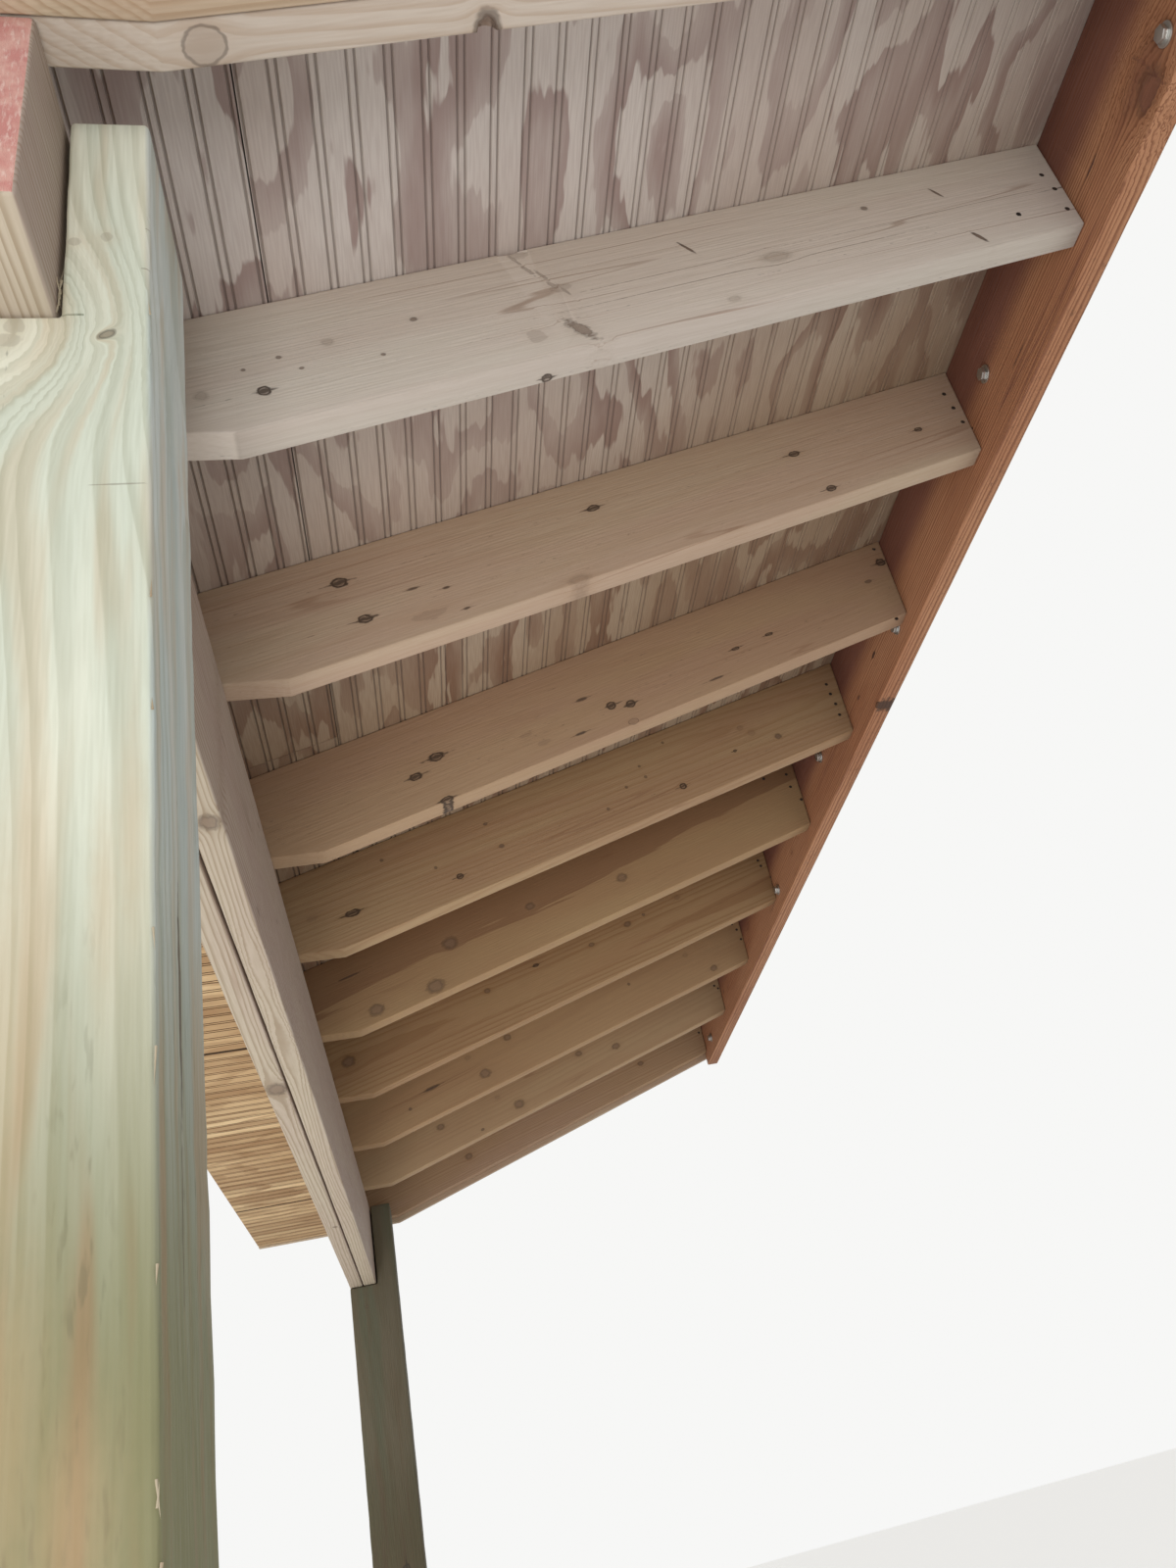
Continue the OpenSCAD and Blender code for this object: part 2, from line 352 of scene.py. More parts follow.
def makePlanedWoodGroup(rings):
    g, given, out = startGroup("planedWood", dict(
        ringInputs, **knotInputs, Pale=rgb(0.5, 0.4, 0.3), Blush=rgb(0.5, 0.36, 0.28),
        Late=rgb(0.4, 0.27, 0.16), Heart=rgb(0.3, 0.16, 0.09), KnotWood=rgb(0.2, 0.12, 0.08),
        Share=0.3, BlushShare=0.5, Lines=0.4, HeartRadius=0.0), ("Color", "Roughness"))
    grain = g.group(rings, **{label: given[label] for label in ringInputs})
    colour = g.coat(given["Pale"], given["Blush"], g.fade(grain["Tone"], 0.36, 0.62), given["BlushShare"])
    colour = g.coat(colour, given["Late"], grain["Late"], given["Share"])
    place = g.vector("ADD", given["Vector"], given["Seed"])
    ragged = g.minus(g.noise(place, (3.0, 48.0, 48.0), 2.0, 0.6), 0.5)
    heartPlace = g.calc("MULTIPLY_ADD", ragged, 0.075, grain["Radius"])
    inHeart = g.fade(heartPlace, g.minus(given["HeartRadius"], 0.006), given["HeartRadius"], 1.0, 0.0)
    colour = g.coat(colour, given["Heart"], inHeart, 0.62)
    fromThread = g.calc("ABSOLUTE", g.minus(g.noise(place, (0.7, 26.0, 26.0), 1.0), 0.5))
    thread = g.times(g.fade(fromThread, 0.003, 0.011, 1.0, 0.0), g.fade(grain["Tone"], 0.5, 0.66))
    colour = g.coat(colour, given["Heart"], thread, given["Lines"])
    fine = g.fade(grain["Fibre"], 0.3, 0.7)
    colour = g.coat(colour, given["Late"], fine, 0.11)
    colour = g.coat(colour, given["Late"], given["Halo"], 0.55)
    colour = g.mix(given["Knot"], colour, given["KnotWood"])
    g.feed(out["Color"], g.mix(given["Dark"], colour, rgb(0.045, 0.028, 0.02)))
    rough = g.plus(0.6, g.times(fine, 0.14))
    g.feed(out["Roughness"], g.minus(rough, g.times(given["Knot"], 0.15)))
    return g.tree


def makeTreatedGroup(rings):
    g, given, out = startGroup("treatedTimber", dict(
        ringInputs, **knotInputs, Pale=rgb(0.7, 0.68, 0.55), Green=rgb(0.55, 0.6, 0.45),
        Tan=rgb(0.65, 0.5, 0.33), Low=rgb(0.4, 0.34, 0.2), LowTan=rgb(0.3, 0.19, 0.11), Top=0.0, Bottom=1.0),
        ("Color", "Roughness"))
    grain = g.group(rings, **{label: given[label] for label in ringInputs})
    place = g.vector("ADD", given["Vector"], given["Seed"])
    broad = g.noise(place, (2.0, 24.0, 24.0), 1.0)
    smear = g.fade(g.noise(place, (3.6, 46.0, 46.0), 2.0, 0.5), 0.47, 0.68)
    lower = g.fade(g.split(given["Vector"])[0], given["Top"], given["Bottom"])
    colour = g.mix(g.fade(broad, 0.36, 0.66), given["Pale"], given["Green"])
    colour = g.coat(colour, given["Low"], lower, 0.95)
    tan = g.mix(lower, given["Tan"], given["LowTan"])
    colour = g.coat(colour, tan, smear, g.calc("MULTIPLY_ADD", lower, 0.4, 0.35))
    blotch = g.fade(g.noise(place, (34.0, 190.0, 190.0), 2.0, 0.6), 0.54, 0.7)
    blotch = g.times(blotch, g.times(g.fade(broad, 0.4, 0.6), lower))
    colour = g.coat(colour, rgb(0.12, 0.115, 0.065), blotch, 0.45)
    colour = g.coat(colour, given["Low"], grain["Late"], g.calc("MULTIPLY_ADD", lower, 0.15, 0.22))
    fine = g.fade(grain["Fibre"], 0.3, 0.72)
    colour = g.coat(colour, given["Low"], fine, 0.09)
    colour = g.coat(colour, given["Tan"], given["Halo"], 0.75)
    colour = g.mix(given["Knot"], colour, rgb(0.16, 0.12, 0.08))
    g.feed(out["Color"], g.mix(given["Dark"], colour, rgb(0.05, 0.045, 0.035)))
    g.feed(out["Roughness"], g.plus(0.66, g.times(fine, 0.16)))
    return g.tree


def makeFibreGroup():
    g, given, out = startGroup("raisedFibre", dict(Vector=nowhere, Seed=0.0), ("Height",))
    place = g.vector("ADD", given["Vector"], given["Seed"])
    g.feed(out["Height"], g.noise(place, (16.0, 360.0, 360.0), 0.0))
    return g.tree


def makeVeneerGroup():
    g, given, out = startGroup("rotaryVeneer", dict(
        Vector=nowhere, Seed=0.0, Bands=7.0, Teeth=0.42, Share=0.5), ("Late", "Tone", "Fibre"))
    seed = given["Seed"]
    place = g.vector("ADD", given["Vector"], g.join(seed, g.times(seed, 2.3), seed))
    flat = g.vector("MULTIPLY", place, (1.0, 1.0, 0.0))
    broad = g.times(g.noise(flat, (2.4, 6.5, 0.0), 1.5, 0.5), given["Bands"])
    teeth = g.times(g.noise(flat, (8.0, 48.0, 0.0), 2.0, 0.6), given["Teeth"])
    ring = g.calc("FRACT", g.plus(broad, teeth))
    edge = g.minus(1.0, given["Share"])
    late = g.times(g.fade(ring, g.minus(edge, 0.06), edge), g.fade(ring, 0.95, 1.0, 1.0, 0.0))
    g.feed(out["Late"], g.times(late, g.fade(ring, edge, 1.0, 1.0, 0.55)))
    g.feed(out["Tone"], g.noise(flat, (1.6, 4.5, 0.0), 1.0))
    g.feed(out["Fibre"], g.noise(flat, (26.0, 480.0, 0.0), 0.0))
    return g.tree


def makeGrooveGroup():  # the two grooves beside each bead, and a random tone for each strip
    g, given, out = startGroup("beadGrooves", dict(
        Across=0.0, First=0.0, Pitch=0.0381, HalfGap=0.0042, HalfWidth=0.0018), ("Groove", "Strip"))
    turns = g.calc("DIVIDE", g.minus(given["Across"], given["First"]), given["Pitch"])
    nearBead = g.minus(g.calc("FRACT", g.plus(turns, 0.5)), 0.5)
    fromBead = g.calc("ABSOLUTE", g.times(nearBead, given["Pitch"]))
    fromGroove = g.calc("ABSOLUTE", g.minus(fromBead, given["HalfGap"]))
    half = given["HalfWidth"]
    g.feed(out["Groove"], g.fade(fromGroove, g.times(half, 0.35), half, 1.0, 0.0))
    white = g.made("TexWhiteNoise", noise_dimensions="1D")
    g.feed(white.inputs["W"], g.calc("FLOOR", turns))
    g.feed(out["Strip"], white.outputs["Value"])
    return g.tree


def makeSpeckleGroup():
    g, given, out = startGroup("granules", dict(Vector=nowhere, Scale=900.0), ("Mask", "Height"))
    cells = g.made("TexVoronoi", dict(Vector=given["Vector"], Scale=given["Scale"])).outputs
    g.feed(out["Mask"], g.split(cells["Color"])[0])
    g.feed(out["Height"], g.minus(1.0, cells["Distance"]))
    return g.tree


growthRings = makeRingsGroup()
knotInGrain = makeKnotGroup()
knotTail = makeTailGroup()
planedWood = makePlanedWoodGroup(growthRings)
treatedTimber = makeTreatedGroup(growthRings)
raisedFibre = makeFibreGroup()
rotaryVeneer = makeVeneerGroup()
beadGrooves = makeGrooveGroup()
granules = makeSpeckleGroup()
print("shader groups made")


# Materials

def startMaterial(name):
    material = bpy.data.materials.new(name)
    material.use_nodes = True
    return material, nodeGraph(material.node_tree), material.node_tree.nodes["Principled BSDF"]


def objectPlace(g):
    return g.made("TexCoord").outputs["Object"]


def dressShader(g, shader, colour, rough, specular=0.5):
    for label, value in (("Base Color", colour), ("Roughness", rough), ("Specular IOR Level", specular)):
        g.feed(shader.inputs[label], value)


def bounceColour(g, shader, colour):  # light that bounces off the piece sees its mean colour, which is quick
    plain = g.made("BsdfDiffuse", dict(Color=colour))
    bounced = g.made("LightPath").outputs["Is Diffuse Ray"]
    blend = g.made("MixShader", (bounced, shader.outputs[0], plain.outputs[0]))
    g.feed(g.tree.nodes["Material Output"].inputs["Surface"], blend.outputs[0])


def boardCoordinates(g, origin, along, across):  # metres from the origin, along and across the board
    along, across = Vector(along), Vector(across)
    turn = Matrix((along, across, along.cross(across))).transposed().to_euler()
    place = dict(Vector=objectPlace(g), Location=origin, Rotation=turn)
    return g.made("Mapping", place, vector_type="TEXTURE").outputs[0]


def addBump(g, shader, height, distance, strength=1.0):
    bump = g.made("Bump", dict(Strength=strength, Distance=distance, Height=height))
    g.feed(shader.inputs["Normal"], bump.outputs[0])


def woodRelief(g, shader, vector, seed, distance):
    addBump(g, shader, g.group(raisedFibre, Vector=vector, Seed=seed)["Height"], distance, 0.8)


plainKnot = dict(Fill=0.0, Rim=0.0, Tail=0.0, Glow=0.0, Band=0.45, Rag=0.7, pull=0.0, slant=0, lift=0)
knotKinds = {  # how strong each kind's centre, rim, tails and halo are, and how far it bends the grain
    "eye": dict(Fill=0.35, Rim=0.9, Tail=0.8, Glow=0.5, Band=0.4, pull=0.85),
    "round": dict(Fill=0.5, Rim=0.35, Glow=0.8, pull=0.9),
    "ring": dict(Fill=0.24, Rim=0.5, Glow=0.3, Band=0.13, Rag=0.25, pull=0.9),
    "ghost": dict(Fill=0.2, Rim=0.12, Glow=0.5, pull=0.7),
    "pin": dict(Fill=0.65, Rim=0.4, Tail=0.15, Glow=0.3, pull=0.6),
    "dash": dict(Fill=0.8, Rim=0.5, Tail=0.6, Glow=0.3, pull=0.4),
    "slit": dict(Fill=0.9, Rim=0.6, Glow=0.3, pull=0.2, slant=0.43),
    "bark": dict(Fill=0.6, Rim=0.3, Glow=0.35, Rag=1.5, pull=0.6, slant=0.42),
    "tear": dict(Fill=0.4, Rim=0.2, Glow=0.15, Rag=2.6, pull=0.3, slant=0.3),
    "bore": dict(Fill=0.8, Rim=0.6, Glow=0.3, Rag=0.4, pull=0.8),
    "tan": dict(Glow=0.5),
    "line": dict(Fill=0.5, Rag=0.9),
    "stain": dict(Fill=0.22, Glow=0.25),
    "pencil": dict(Fill=0.45),
    "sweep": dict(Glow=0.1, pull=0.92),
    "whorl": dict(Glow=0.12, Rag=0.2, pull=0.1, lift=75),
    "curl": dict(Fill=0.6, Rim=0.5, Glow=0.4, pull=0.5, slant=0.4, lift=-14),
}
throughBoard = 2000  # mm, for a knot that runs right through


def knotChain(g, vector, knots):  # rows of kind, along, across, length, width[, deep, thickness], in mm
    fray = g.minus(g.noise(vector, (110.0, 190.0, 190.0), 1.0), 0.5)
    chain = dict(Vector=vector, Knot=0.0, Dark=0.0, Halo=0.0)
    for row in knots:
        kind, (along, across, length, width) = dict(plainKnot, **knotKinds[row[0]]), row[1:5]
        deep, thick = row[5:] if len(row) > 5 else (0, throughBoard)
        pull = (0, kind["pull"] if width < throughBoard else 0, kind["pull"] if thick < throughBoard else 0)
        spot = dict(Fray=fray, Place=(along * mm, across * mm, deep * mm),
                    Size=(length * mm, width * mm, thick * mm))
        if kind["Tail"]:
            chain["Dark"] = g.group(knotTail, Vector=chain["Vector"], Dark=chain["Dark"], Tail=kind["Tail"],
                                    **spot)["Dark"]
        looks = {label: kind[label] for label in ("Fill", "Rim", "Glow", "Band", "Rag")}
        made = g.group(knotInGrain, **spot, **looks, **chain, Slant=kind["slant"], Pull=pull,
                       Lift=(0, kind["lift"] * mm, 0))
        chain = {label: made[label] for label in chain}
    return chain


def paintedSideShade(g, vector, look, names):  # painted light and shade: lit and shaded copies of the board's colours, changing across its width or depth
    if "edgeReach" not in look:
        return {}
    reach = g.fade(g.split(vector)[look.get("edgeAxis", 1)], *[value * mm for value in look["edgeReach"]])
    return {name: g.mix(reach, look[name], other) for name, other in zip(names, look["edge"])}


# shadedCopies names the colours that the painted side shade swaps for lit and shaded copies
planed = dict(group=planedWood, shadedCopies=("pale", "blush", "late"), specular=0.3, relief=0.0005, mean="blush")
treated = dict(group=treatedTimber, shadedCopies=("pale", "green"), specular=0.25, relief=0.0009, mean="green")
lengths = ("spacing", "wander", "heartRadius", "top", "bottom")  # the looks give these in mm


def woodMaterial(name, origin, along, across, look, knots=(), kind=planed):
    material, g, shader = startMaterial(name)
    vector = boardCoordinates(g, origin, along, across)
    chain = knotChain(g, vector, knots)
    values = {key: value for key, value in look.items() if not key.startswith("edge")}
    values.update({key: look[key] * mm for key in lengths if key in look}, pith=Vector(look["pith"]) * mm)
    values.update(paintedSideShade(g, vector, look, kind["shadedCopies"]))
    sockets = {key[0].upper() + key[1:]: value for key, value in values.items()}
    wood = g.group(kind["group"], **chain, **sockets)
    dressShader(g, shader, wood["Color"], wood["Roughness"], kind["specular"])
    woodRelief(g, shader, vector, look["seed"], kind["relief"])
    bounceColour(g, shader, look[kind["mean"]])
    return material


pine = dict(pale=rgb(0.46, 0.34, 0.235), blush=rgb(0.42, 0.28, 0.20), late=rgb(0.33, 0.20, 0.11),
            heart=rgb(0.24, 0.12, 0.065), knotWood=rgb(0.17, 0.11, 0.08), share=0.3, blushShare=0.6,
            lines=0.4, pith=(0, 90, -70), lean=0.02, spacing=6, wander=30, heartRadius=0)


# Ledger

ledgerSettings = dict(ease=4, slices=60, uneven=0.9, cloud=0.09)
ledgerKnots = [
    ("ghost", 196, 178, 46, 30), ("round", 204, 190, 26, 12), ("tear", 190, 176, 2.2, 26),
    ("dash", 334, 152, 17, 1.4), ("eye", 1400, 146, 9, 4), ("dash", 1532, 160, 7, 3),
    ("eye", 1462, 235, 10, 6), ("ghost", 2203, 170, 9, 5), ("dash", 620, 178, 24, 1.2),
    ("ghost", 2750, 120, 16, 10), ("dash", 2480, 195, 20, 1.2), ("pin", 3200, 140, 6, 4),
]
ledgerHollows = ((1462, 234.95, (11, 2.5, 3), 0), (334, 152, (15, 1.2, 1.1), 4))  # along, across, size, turn
# painted shade and painted light: the fir's own colours are the ledger's shaded upper strip between the
# rafters, and the edge colours are its lit lower strip below them
fir = dict(pale=rgb(0.225, 0.10, 0.072), blush=rgb(0.155, 0.066, 0.053), late=rgb(0.195, 0.068, 0.038),
           heart=rgb(0.16, 0.06, 0.045), knotWood=rgb(0.15, 0.06, 0.05), share=0.75, blushShare=0.7,
           lines=0.5, edge=(rgb(0.48, 0.24, 0.13), rgb(0.385, 0.17, 0.088), rgb(0.17, 0.06, 0.028)),
           edgeReach=(78, 140), pith=(0, -260, -330), lean=0.004, spacing=4.6, wander=12, seed=4.0,
           heartRadius=0)


def makeLedger():
    low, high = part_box("ledger")
    board = startBox("ledgerBoard", low, high)
    workBoard(board, ledgerSettings, (low.x, 0, 0), (high.x, 0, 0))
    carveHollows(board, [(Vector((high.x - along * mm, low.y, high.z - across * mm)), size, (0, turn, 0))
                         for along, across, size, turn in ledgerHollows])
    smoothByAngle(board)
    material = woodMaterial("firLedger", (high.x, high.y, high.z), (-1, 0, 0), (0, 0, -1), fir, ledgerKnots)
    return finishPiece(board, material, ["ledger"])


# Rafters

rafterSettings = dict(count=10, skewed=4, thick=38.1, ease=3, slices=26, uneven=0.8, cloud=0.07, width=184.15)
rafterKnots = {
    1: [("bore", 988, 184, 11, throughBoard, -17, 15), ("ring", 1228, 184, 17, throughBoard, -2, 15),
        ("ghost", 700, 90, 12, 9), ("ghost", 1400, 120, 9, 7)],
    2: [("ghost", 545, 110, 20, 9), ("line", 590, 121, 300, 0.9), ("line", 660, 95, 170, 0.8),
        ("line", 260, 96, 230, 0.7), ("eye", 1216, 135, 6, 6), ("ghost", 1126, 84, 6, 5),
        ("pin", 1183, 90, 3, 2.5), ("pin", 1224, 97, 2.5, 2), ("pin", 1167, 114, 2.5, 2),
        ("ghost", 1277, 121, 7, 6), ("pin", 1023, 78, 4, 3), ("pin", 1078, 122, 2.5, 2),
        ("pin", 365, 58, 5, 4), ("ghost", 643, 166, 9, 5), ("bark", 850, 156, 8, 18),
        ("slit", 648, 60, 2.2, 11), ("slit", 239, 59, 2.2, 9), ("slit", 241, 161, 3.2, 11),
        ("tear", 866, 16, 2.0, 12), ("tear", 860, 36, 2.6, 8), ("tear", 848, 52, 1.8, 10),
        ("tear", 845, 70, 2.8, 7), ("tear", 834, 88, 1.5, 9), ("stain", 858, 8, 16, 9),
        ("stain", 838, 80, 16, 7), ("stain", 905, 150, 12, 12), ("dash", 20, 103, 26, 1.6),
        ("eye", 908, 184, 6, throughBoard, -12, 5)],
    3: [("eye", 1139, 55, 10, 7), ("eye", 1133, 128, 9, 6), ("dash", 1053, 103, 8, 2),
        ("dash", 1010, 119, 5, 2), ("dash", 1000, 164, 5, 2), ("stain", 1052, 155, 30, 8),
        ("eye", 743, 60, 9, 5), ("eye", 380, 75, 9, 5), ("eye", 366, 164, 8, 5), ("eye", 141, 104, 7, 4),
        ("ghost", 830, 178, 16, 7)],
    4: [("eye", 1024, 94, 12, 7), ("eye", 1072, 116, 10, 6), ("eye", 701, 129, 8, 7),
        ("eye", 667, 141, 8, 7), ("dash", 742, 94, 10, 3), ("dash", 779, 159, 9, 2.5),
        ("eye", 424, 114, 8, 3), ("eye", 346, 112, 8, 3), ("dash", 494, 159, 14, 2), ("pin", 86, 83, 7, 4),
        ("eye", 32, 51, 9, 8), ("stain", 868, 120, 12, 5), ("stain", 846, 148, 14, 6),
        ("eye", 1045, 180, 10, 5), ("ring", 682, 177, 10, 6)],
    5: [("pin", 231, 125, 7, 6), ("ghost", 282, 92, 8, 7), ("ghost", 298, 70, 7, 6),
        ("eye", 341, 117, 4, 3), ("eye", 493, 147, 7, 6), ("pin", 604, 97, 3, 3), ("pin", 554, 92, 3, 3),
        ("pin", 553, 63, 3, 3), ("pin", 476, 31, 3, 3), ("pin", 665, 128, 3, 3), ("pin", 901, 112, 5, 4),
        ("pin", 907, 51, 4, 3), ("eye", 1004, 138, 7, 5), ("pin", 1038, 100, 3, 3), ("pin", 1124, 39, 3, 3),
        ("eye", 1218, 121, 12, 6), ("stain", 1288, 99, 12, 7)],
    6: [("round", 1005, 81, 16, 13), ("round", 1078, 162, 18, 14), ("round", 1213, 155, 15, 12),
        ("round", 802, 78, 10, 8), ("round", 571, 107, 12, 10), ("dash", 1234, 56, 22, 2)],
    7: [("round", 1282, 82, 14, 12), ("round", 901, 68, 7, 6), ("round", 597, 74, 7, 5),
        ("round", 480, 65, 9, 7), ("eye", 757, 60, 7, 4), ("pin", 427, 59, 4, 4), ("ghost", 316, 55, 7, 6)],
    8: [("round", 935, 136, 14, 12), ("round", 832, 68, 10, 8), ("dash", 1084, 105, 20, 4),
        ("ghost", 959, 71, 8, 6), ("pin", 1161, 132, 4, 4), ("pin", 436, 85, 4, 4),
        ("round", 176, 159, 10, 8), ("ghost", 233, 81, 8, 6)],
    9: [("round", 819, 147, 14, 12), ("round", 574, 88, 10, 8), ("round", 454, 122, 12, 9),
        ("ghost", 869, 95, 8, 6), ("round", 1063, 98, 11, 8), ("pin", 954, 166, 5, 4)],
    10: [("round", 300, 110, 9, 7), ("ghost", 620, 60, 10, 8), ("round", 980, 120, 11, 9),
        ("pin", 1230, 70, 6, 5)],
}
rafterHollows = {  # a missing knot, a chipped arris and an open knot: along, across, deep and size
    1: [(988, 184, -19, (14, 10, 12))],
    2: [(868, 0, 19, (5, 17, 6)), (850, 4, 19, (3, 10, 5)), (908, 184, -12, (4, 4, 2)),
        (852, 150, 19.5, (1.2, 5, 9))],
}
rafterLooks = {  # what makes each board its own, with painted light and shade in rafter 2's colours
    1: dict(pith=(0, 250, 60), lean=0.03, pale=rgb(0.55, 0.47, 0.40), blush=rgb(0.52, 0.43, 0.36)),
    # rafter 2: its pale colours hold painted light, a bright haze, and its darker edge colours paint shade on
    # its underside
    2: dict(pith=(0, 60, -150), lean=0.016, spacing=9, share=0.1, lines=0.5, pale=rgb(0.71, 0.65, 0.58),
            blush=rgb(0.69, 0.60, 0.54), late=rgb(0.52, 0.44, 0.36), edgeReach=(181.5, 183),
            edge=(rgb(0.55, 0.49, 0.43), rgb(0.53, 0.45, 0.40), rgb(0.33, 0.26, 0.20))),
    3: dict(pith=(0, 120, -120), lean=-0.012, spacing=8, share=0.12, pale=rgb(0.50, 0.38, 0.275),
            blush=rgb(0.48, 0.335, 0.25)),
    4: dict(pith=(0, 60, -140), lean=0.02, spacing=8, share=0.15, pale=rgb(0.43, 0.29, 0.18),
            blush=rgb(0.41, 0.26, 0.175)),
    5: dict(pith=(0, 78, -34), lean=-0.03, spacing=9, share=0.34, pale=rgb(0.42, 0.285, 0.16),
            blush=rgb(0.38, 0.23, 0.135), late=rgb(0.29, 0.155, 0.07)),
    6: dict(pith=(0, -28, 0), lean=0.045, heartRadius=86, share=0.28, pale=rgb(0.41, 0.27, 0.14),
            blush=rgb(0.38, 0.23, 0.12), heart=rgb(0.20, 0.095, 0.05)),
    7: dict(pith=(0, 130, -60), lean=-0.03, share=0.5, spacing=8, lines=0.6, pale=rgb(0.39, 0.25, 0.13),
            blush=rgb(0.37, 0.22, 0.115), late=rgb(0.26, 0.135, 0.06)),
    8: dict(pith=(0, 60, -100), lean=0.02, share=0.25, pale=rgb(0.42, 0.27, 0.145),
            blush=rgb(0.39, 0.235, 0.125)),
    9: dict(pith=(0, 140, -90), lean=0.03, share=0.3, pale=rgb(0.45, 0.31, 0.18),
            blush=rgb(0.42, 0.27, 0.155)),
    10: dict(pith=(0, 30, -60), lean=-0.03, share=0.5, pale=rgb(0.41, 0.27, 0.16),
             late=rgb(0.27, 0.14, 0.07)),
}


def rafterOrigin(i):  # the middle of the board's back edge, at the ledger's face
    low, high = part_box(f"rafter_{i}")
    return Vector((high.x - rafterSettings["thick"] * mm / 2, high.y, high.z))


def onRafter(i, along, across, deep):
    side = Vector((deep, 0, 0))
    return rafterOrigin(i) + (slopeDown * along - roofUp * across + side) * mm


def makeRafter(i):
    low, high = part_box(f"rafter_{i}")
    back = rafterOrigin(i)
    board = startBox(f"rafterBoard{i}", low, high)
    cutOff(board, back, roofUp)
    cutOff(board, back - roofUp * rafterSettings["width"] * mm, -roofUp)
    if i == rafterSettings["skewed"]:
        turn = math.atan2(high.x - low.x - rafterSettings["thick"] * mm, high.y - low.y)
        side = Vector((math.cos(turn), -math.sin(turn), 0))
        cutOff(board, Vector((high.x, high.y, 0)), side)
        cutOff(board, Vector((low.x, low.y, 0)), -side)
    workBoard(board, rafterSettings, (0, high.y, 0), (0, low.y, 0))
    if i in rafterHollows:
        slope = (math.degrees(roofPitch), 0, 0)
        carveHollows(board, [(onRafter(i, *row[:3]), row[3], slope) for row in rafterHollows[i]])
    smoothByAngle(board)
    look = {**pine, "seed": i * 1.7, **rafterLooks[i]}
    material = woodMaterial(f"pineRafter{i}", back, slopeDown, -roofUp, look, rafterKnots[i])
    return finishPiece(board, material, [f"rafter_{i}"])


# Beam

beamSettings = dict(ease=4, slices=64, uneven=1.3, cloud=0.08)
# painted shade: the edge colours make each ply's house-side face darker and greyer
beamLook = dict(pine, pale=rgb(0.52, 0.445, 0.345), blush=rgb(0.495, 0.40, 0.325),
                late=rgb(0.275, 0.195, 0.12), share=0.6, spacing=6, pith=(0, 262, -66), lean=0.006,
                wander=34, lines=0.3,
                edge=(rgb(0.42, 0.34, 0.28), rgb(0.39, 0.30, 0.26), rgb(0.25, 0.17, 0.12)),
                edgeReach=(3.0, 1.6), edgeAxis=2)
innerKnots = [
    ("round", 761, 235, 15, throughBoard, 16, 11), ("sweep", 1545, 235, 70, throughBoard, 19, 10),
    ("sweep", 1425, 235, 60, throughBoard, 20, 8), ("sweep", 1158, 235, 70, throughBoard, 18, 9),
    ("dash", 788, 100, 12, 1.6, 0, 8), ("dash", 1105, 31, 9, 1.6, 0, 8), ("dash", 1048, 205, 14, 1.8, 0, 8),
    ("dash", 1571, 114, 9, 1.5, 0, 8), ("dash", 2284, 52, 12, 1.6, 0, 8), ("dash", 2998, 32, 12, 2, 0, 8),
    ("dash", 2874, 172, 16, 2, 0, 8), ("dash", 1280, 102, 8, 1.5, 0, 8), ("stain", 980, 90, 60, 9, 0, 8),
    ("stain", 2600, 150, 70, 8, 0, 8),
]
outerKnots = [
    ("round", 1666, 235, 26, throughBoard, 17, 15), ("sweep", 1700, 235, 80, throughBoard, 20, 12),
    ("pin", 2700, 235, 6, throughBoard, 12, 5),
]
nickPlaces = ((-475, 12, 3), (-520, 20, 2.4), (-579, 9, 3.4), (-1102, 14, 3), (-1310, 6, 2))


def sealedEndMaterial():  # red end seal on rough end grain
    material, g, shader = startMaterial("sealedEnd")
    vector = objectPlace(g)
    fuzz = g.noise(vector, (150.0, 420.0, 90.0), 4.0, 0.65)
    patch = g.fade(g.noise(vector, 45.0, 3.0), 0.4, 0.62)
    colour = g.mix(patch, rgb(0.60, 0.25, 0.22), rgb(0.70, 0.38, 0.32))
    dressShader(g, shader, g.coat(colour, rgb(0.86, 0.66, 0.58), g.fade(fuzz, 0.5, 0.72), 0.7), 0.85)
    addBump(g, shader, fuzz, 0.0022)
    return material


def makeBeamPly(name, node, seed, knots, nicks):
    low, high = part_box(node)
    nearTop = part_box("ledger")[1].x
    board = startBox(name, low, high)
    cutOff(board, Vector((high.x, 0, low.z)), Vector((high.z - low.z, 0, high.x - nearTop)))
    workBoard(board, beamSettings, (low.x, 0, 0), (nearTop, 0, 0))
    if nicks:
        carveHollows(board, [(Vector((x * mm, high.y, low.z)), (long, deep, deep), (0, 3, 0))
                             for x, long, deep in nicks])
    smoothByAngle(board)
    material = woodMaterial(name + "Pine", (high.x, high.y, high.z), (-1, 0, 0), (0, 0, -1),
                            dict(beamLook, seed=seed), knots)
    finishPiece(board, material, [node])
    board.data.materials.append(sealedEnd)
    for face in board.data.polygons:
        if face.normal.x > 0.9 and face.center.x > nearTop - mm:  # the sloping end cut
            face.material_index = 1
    return board


# Posts

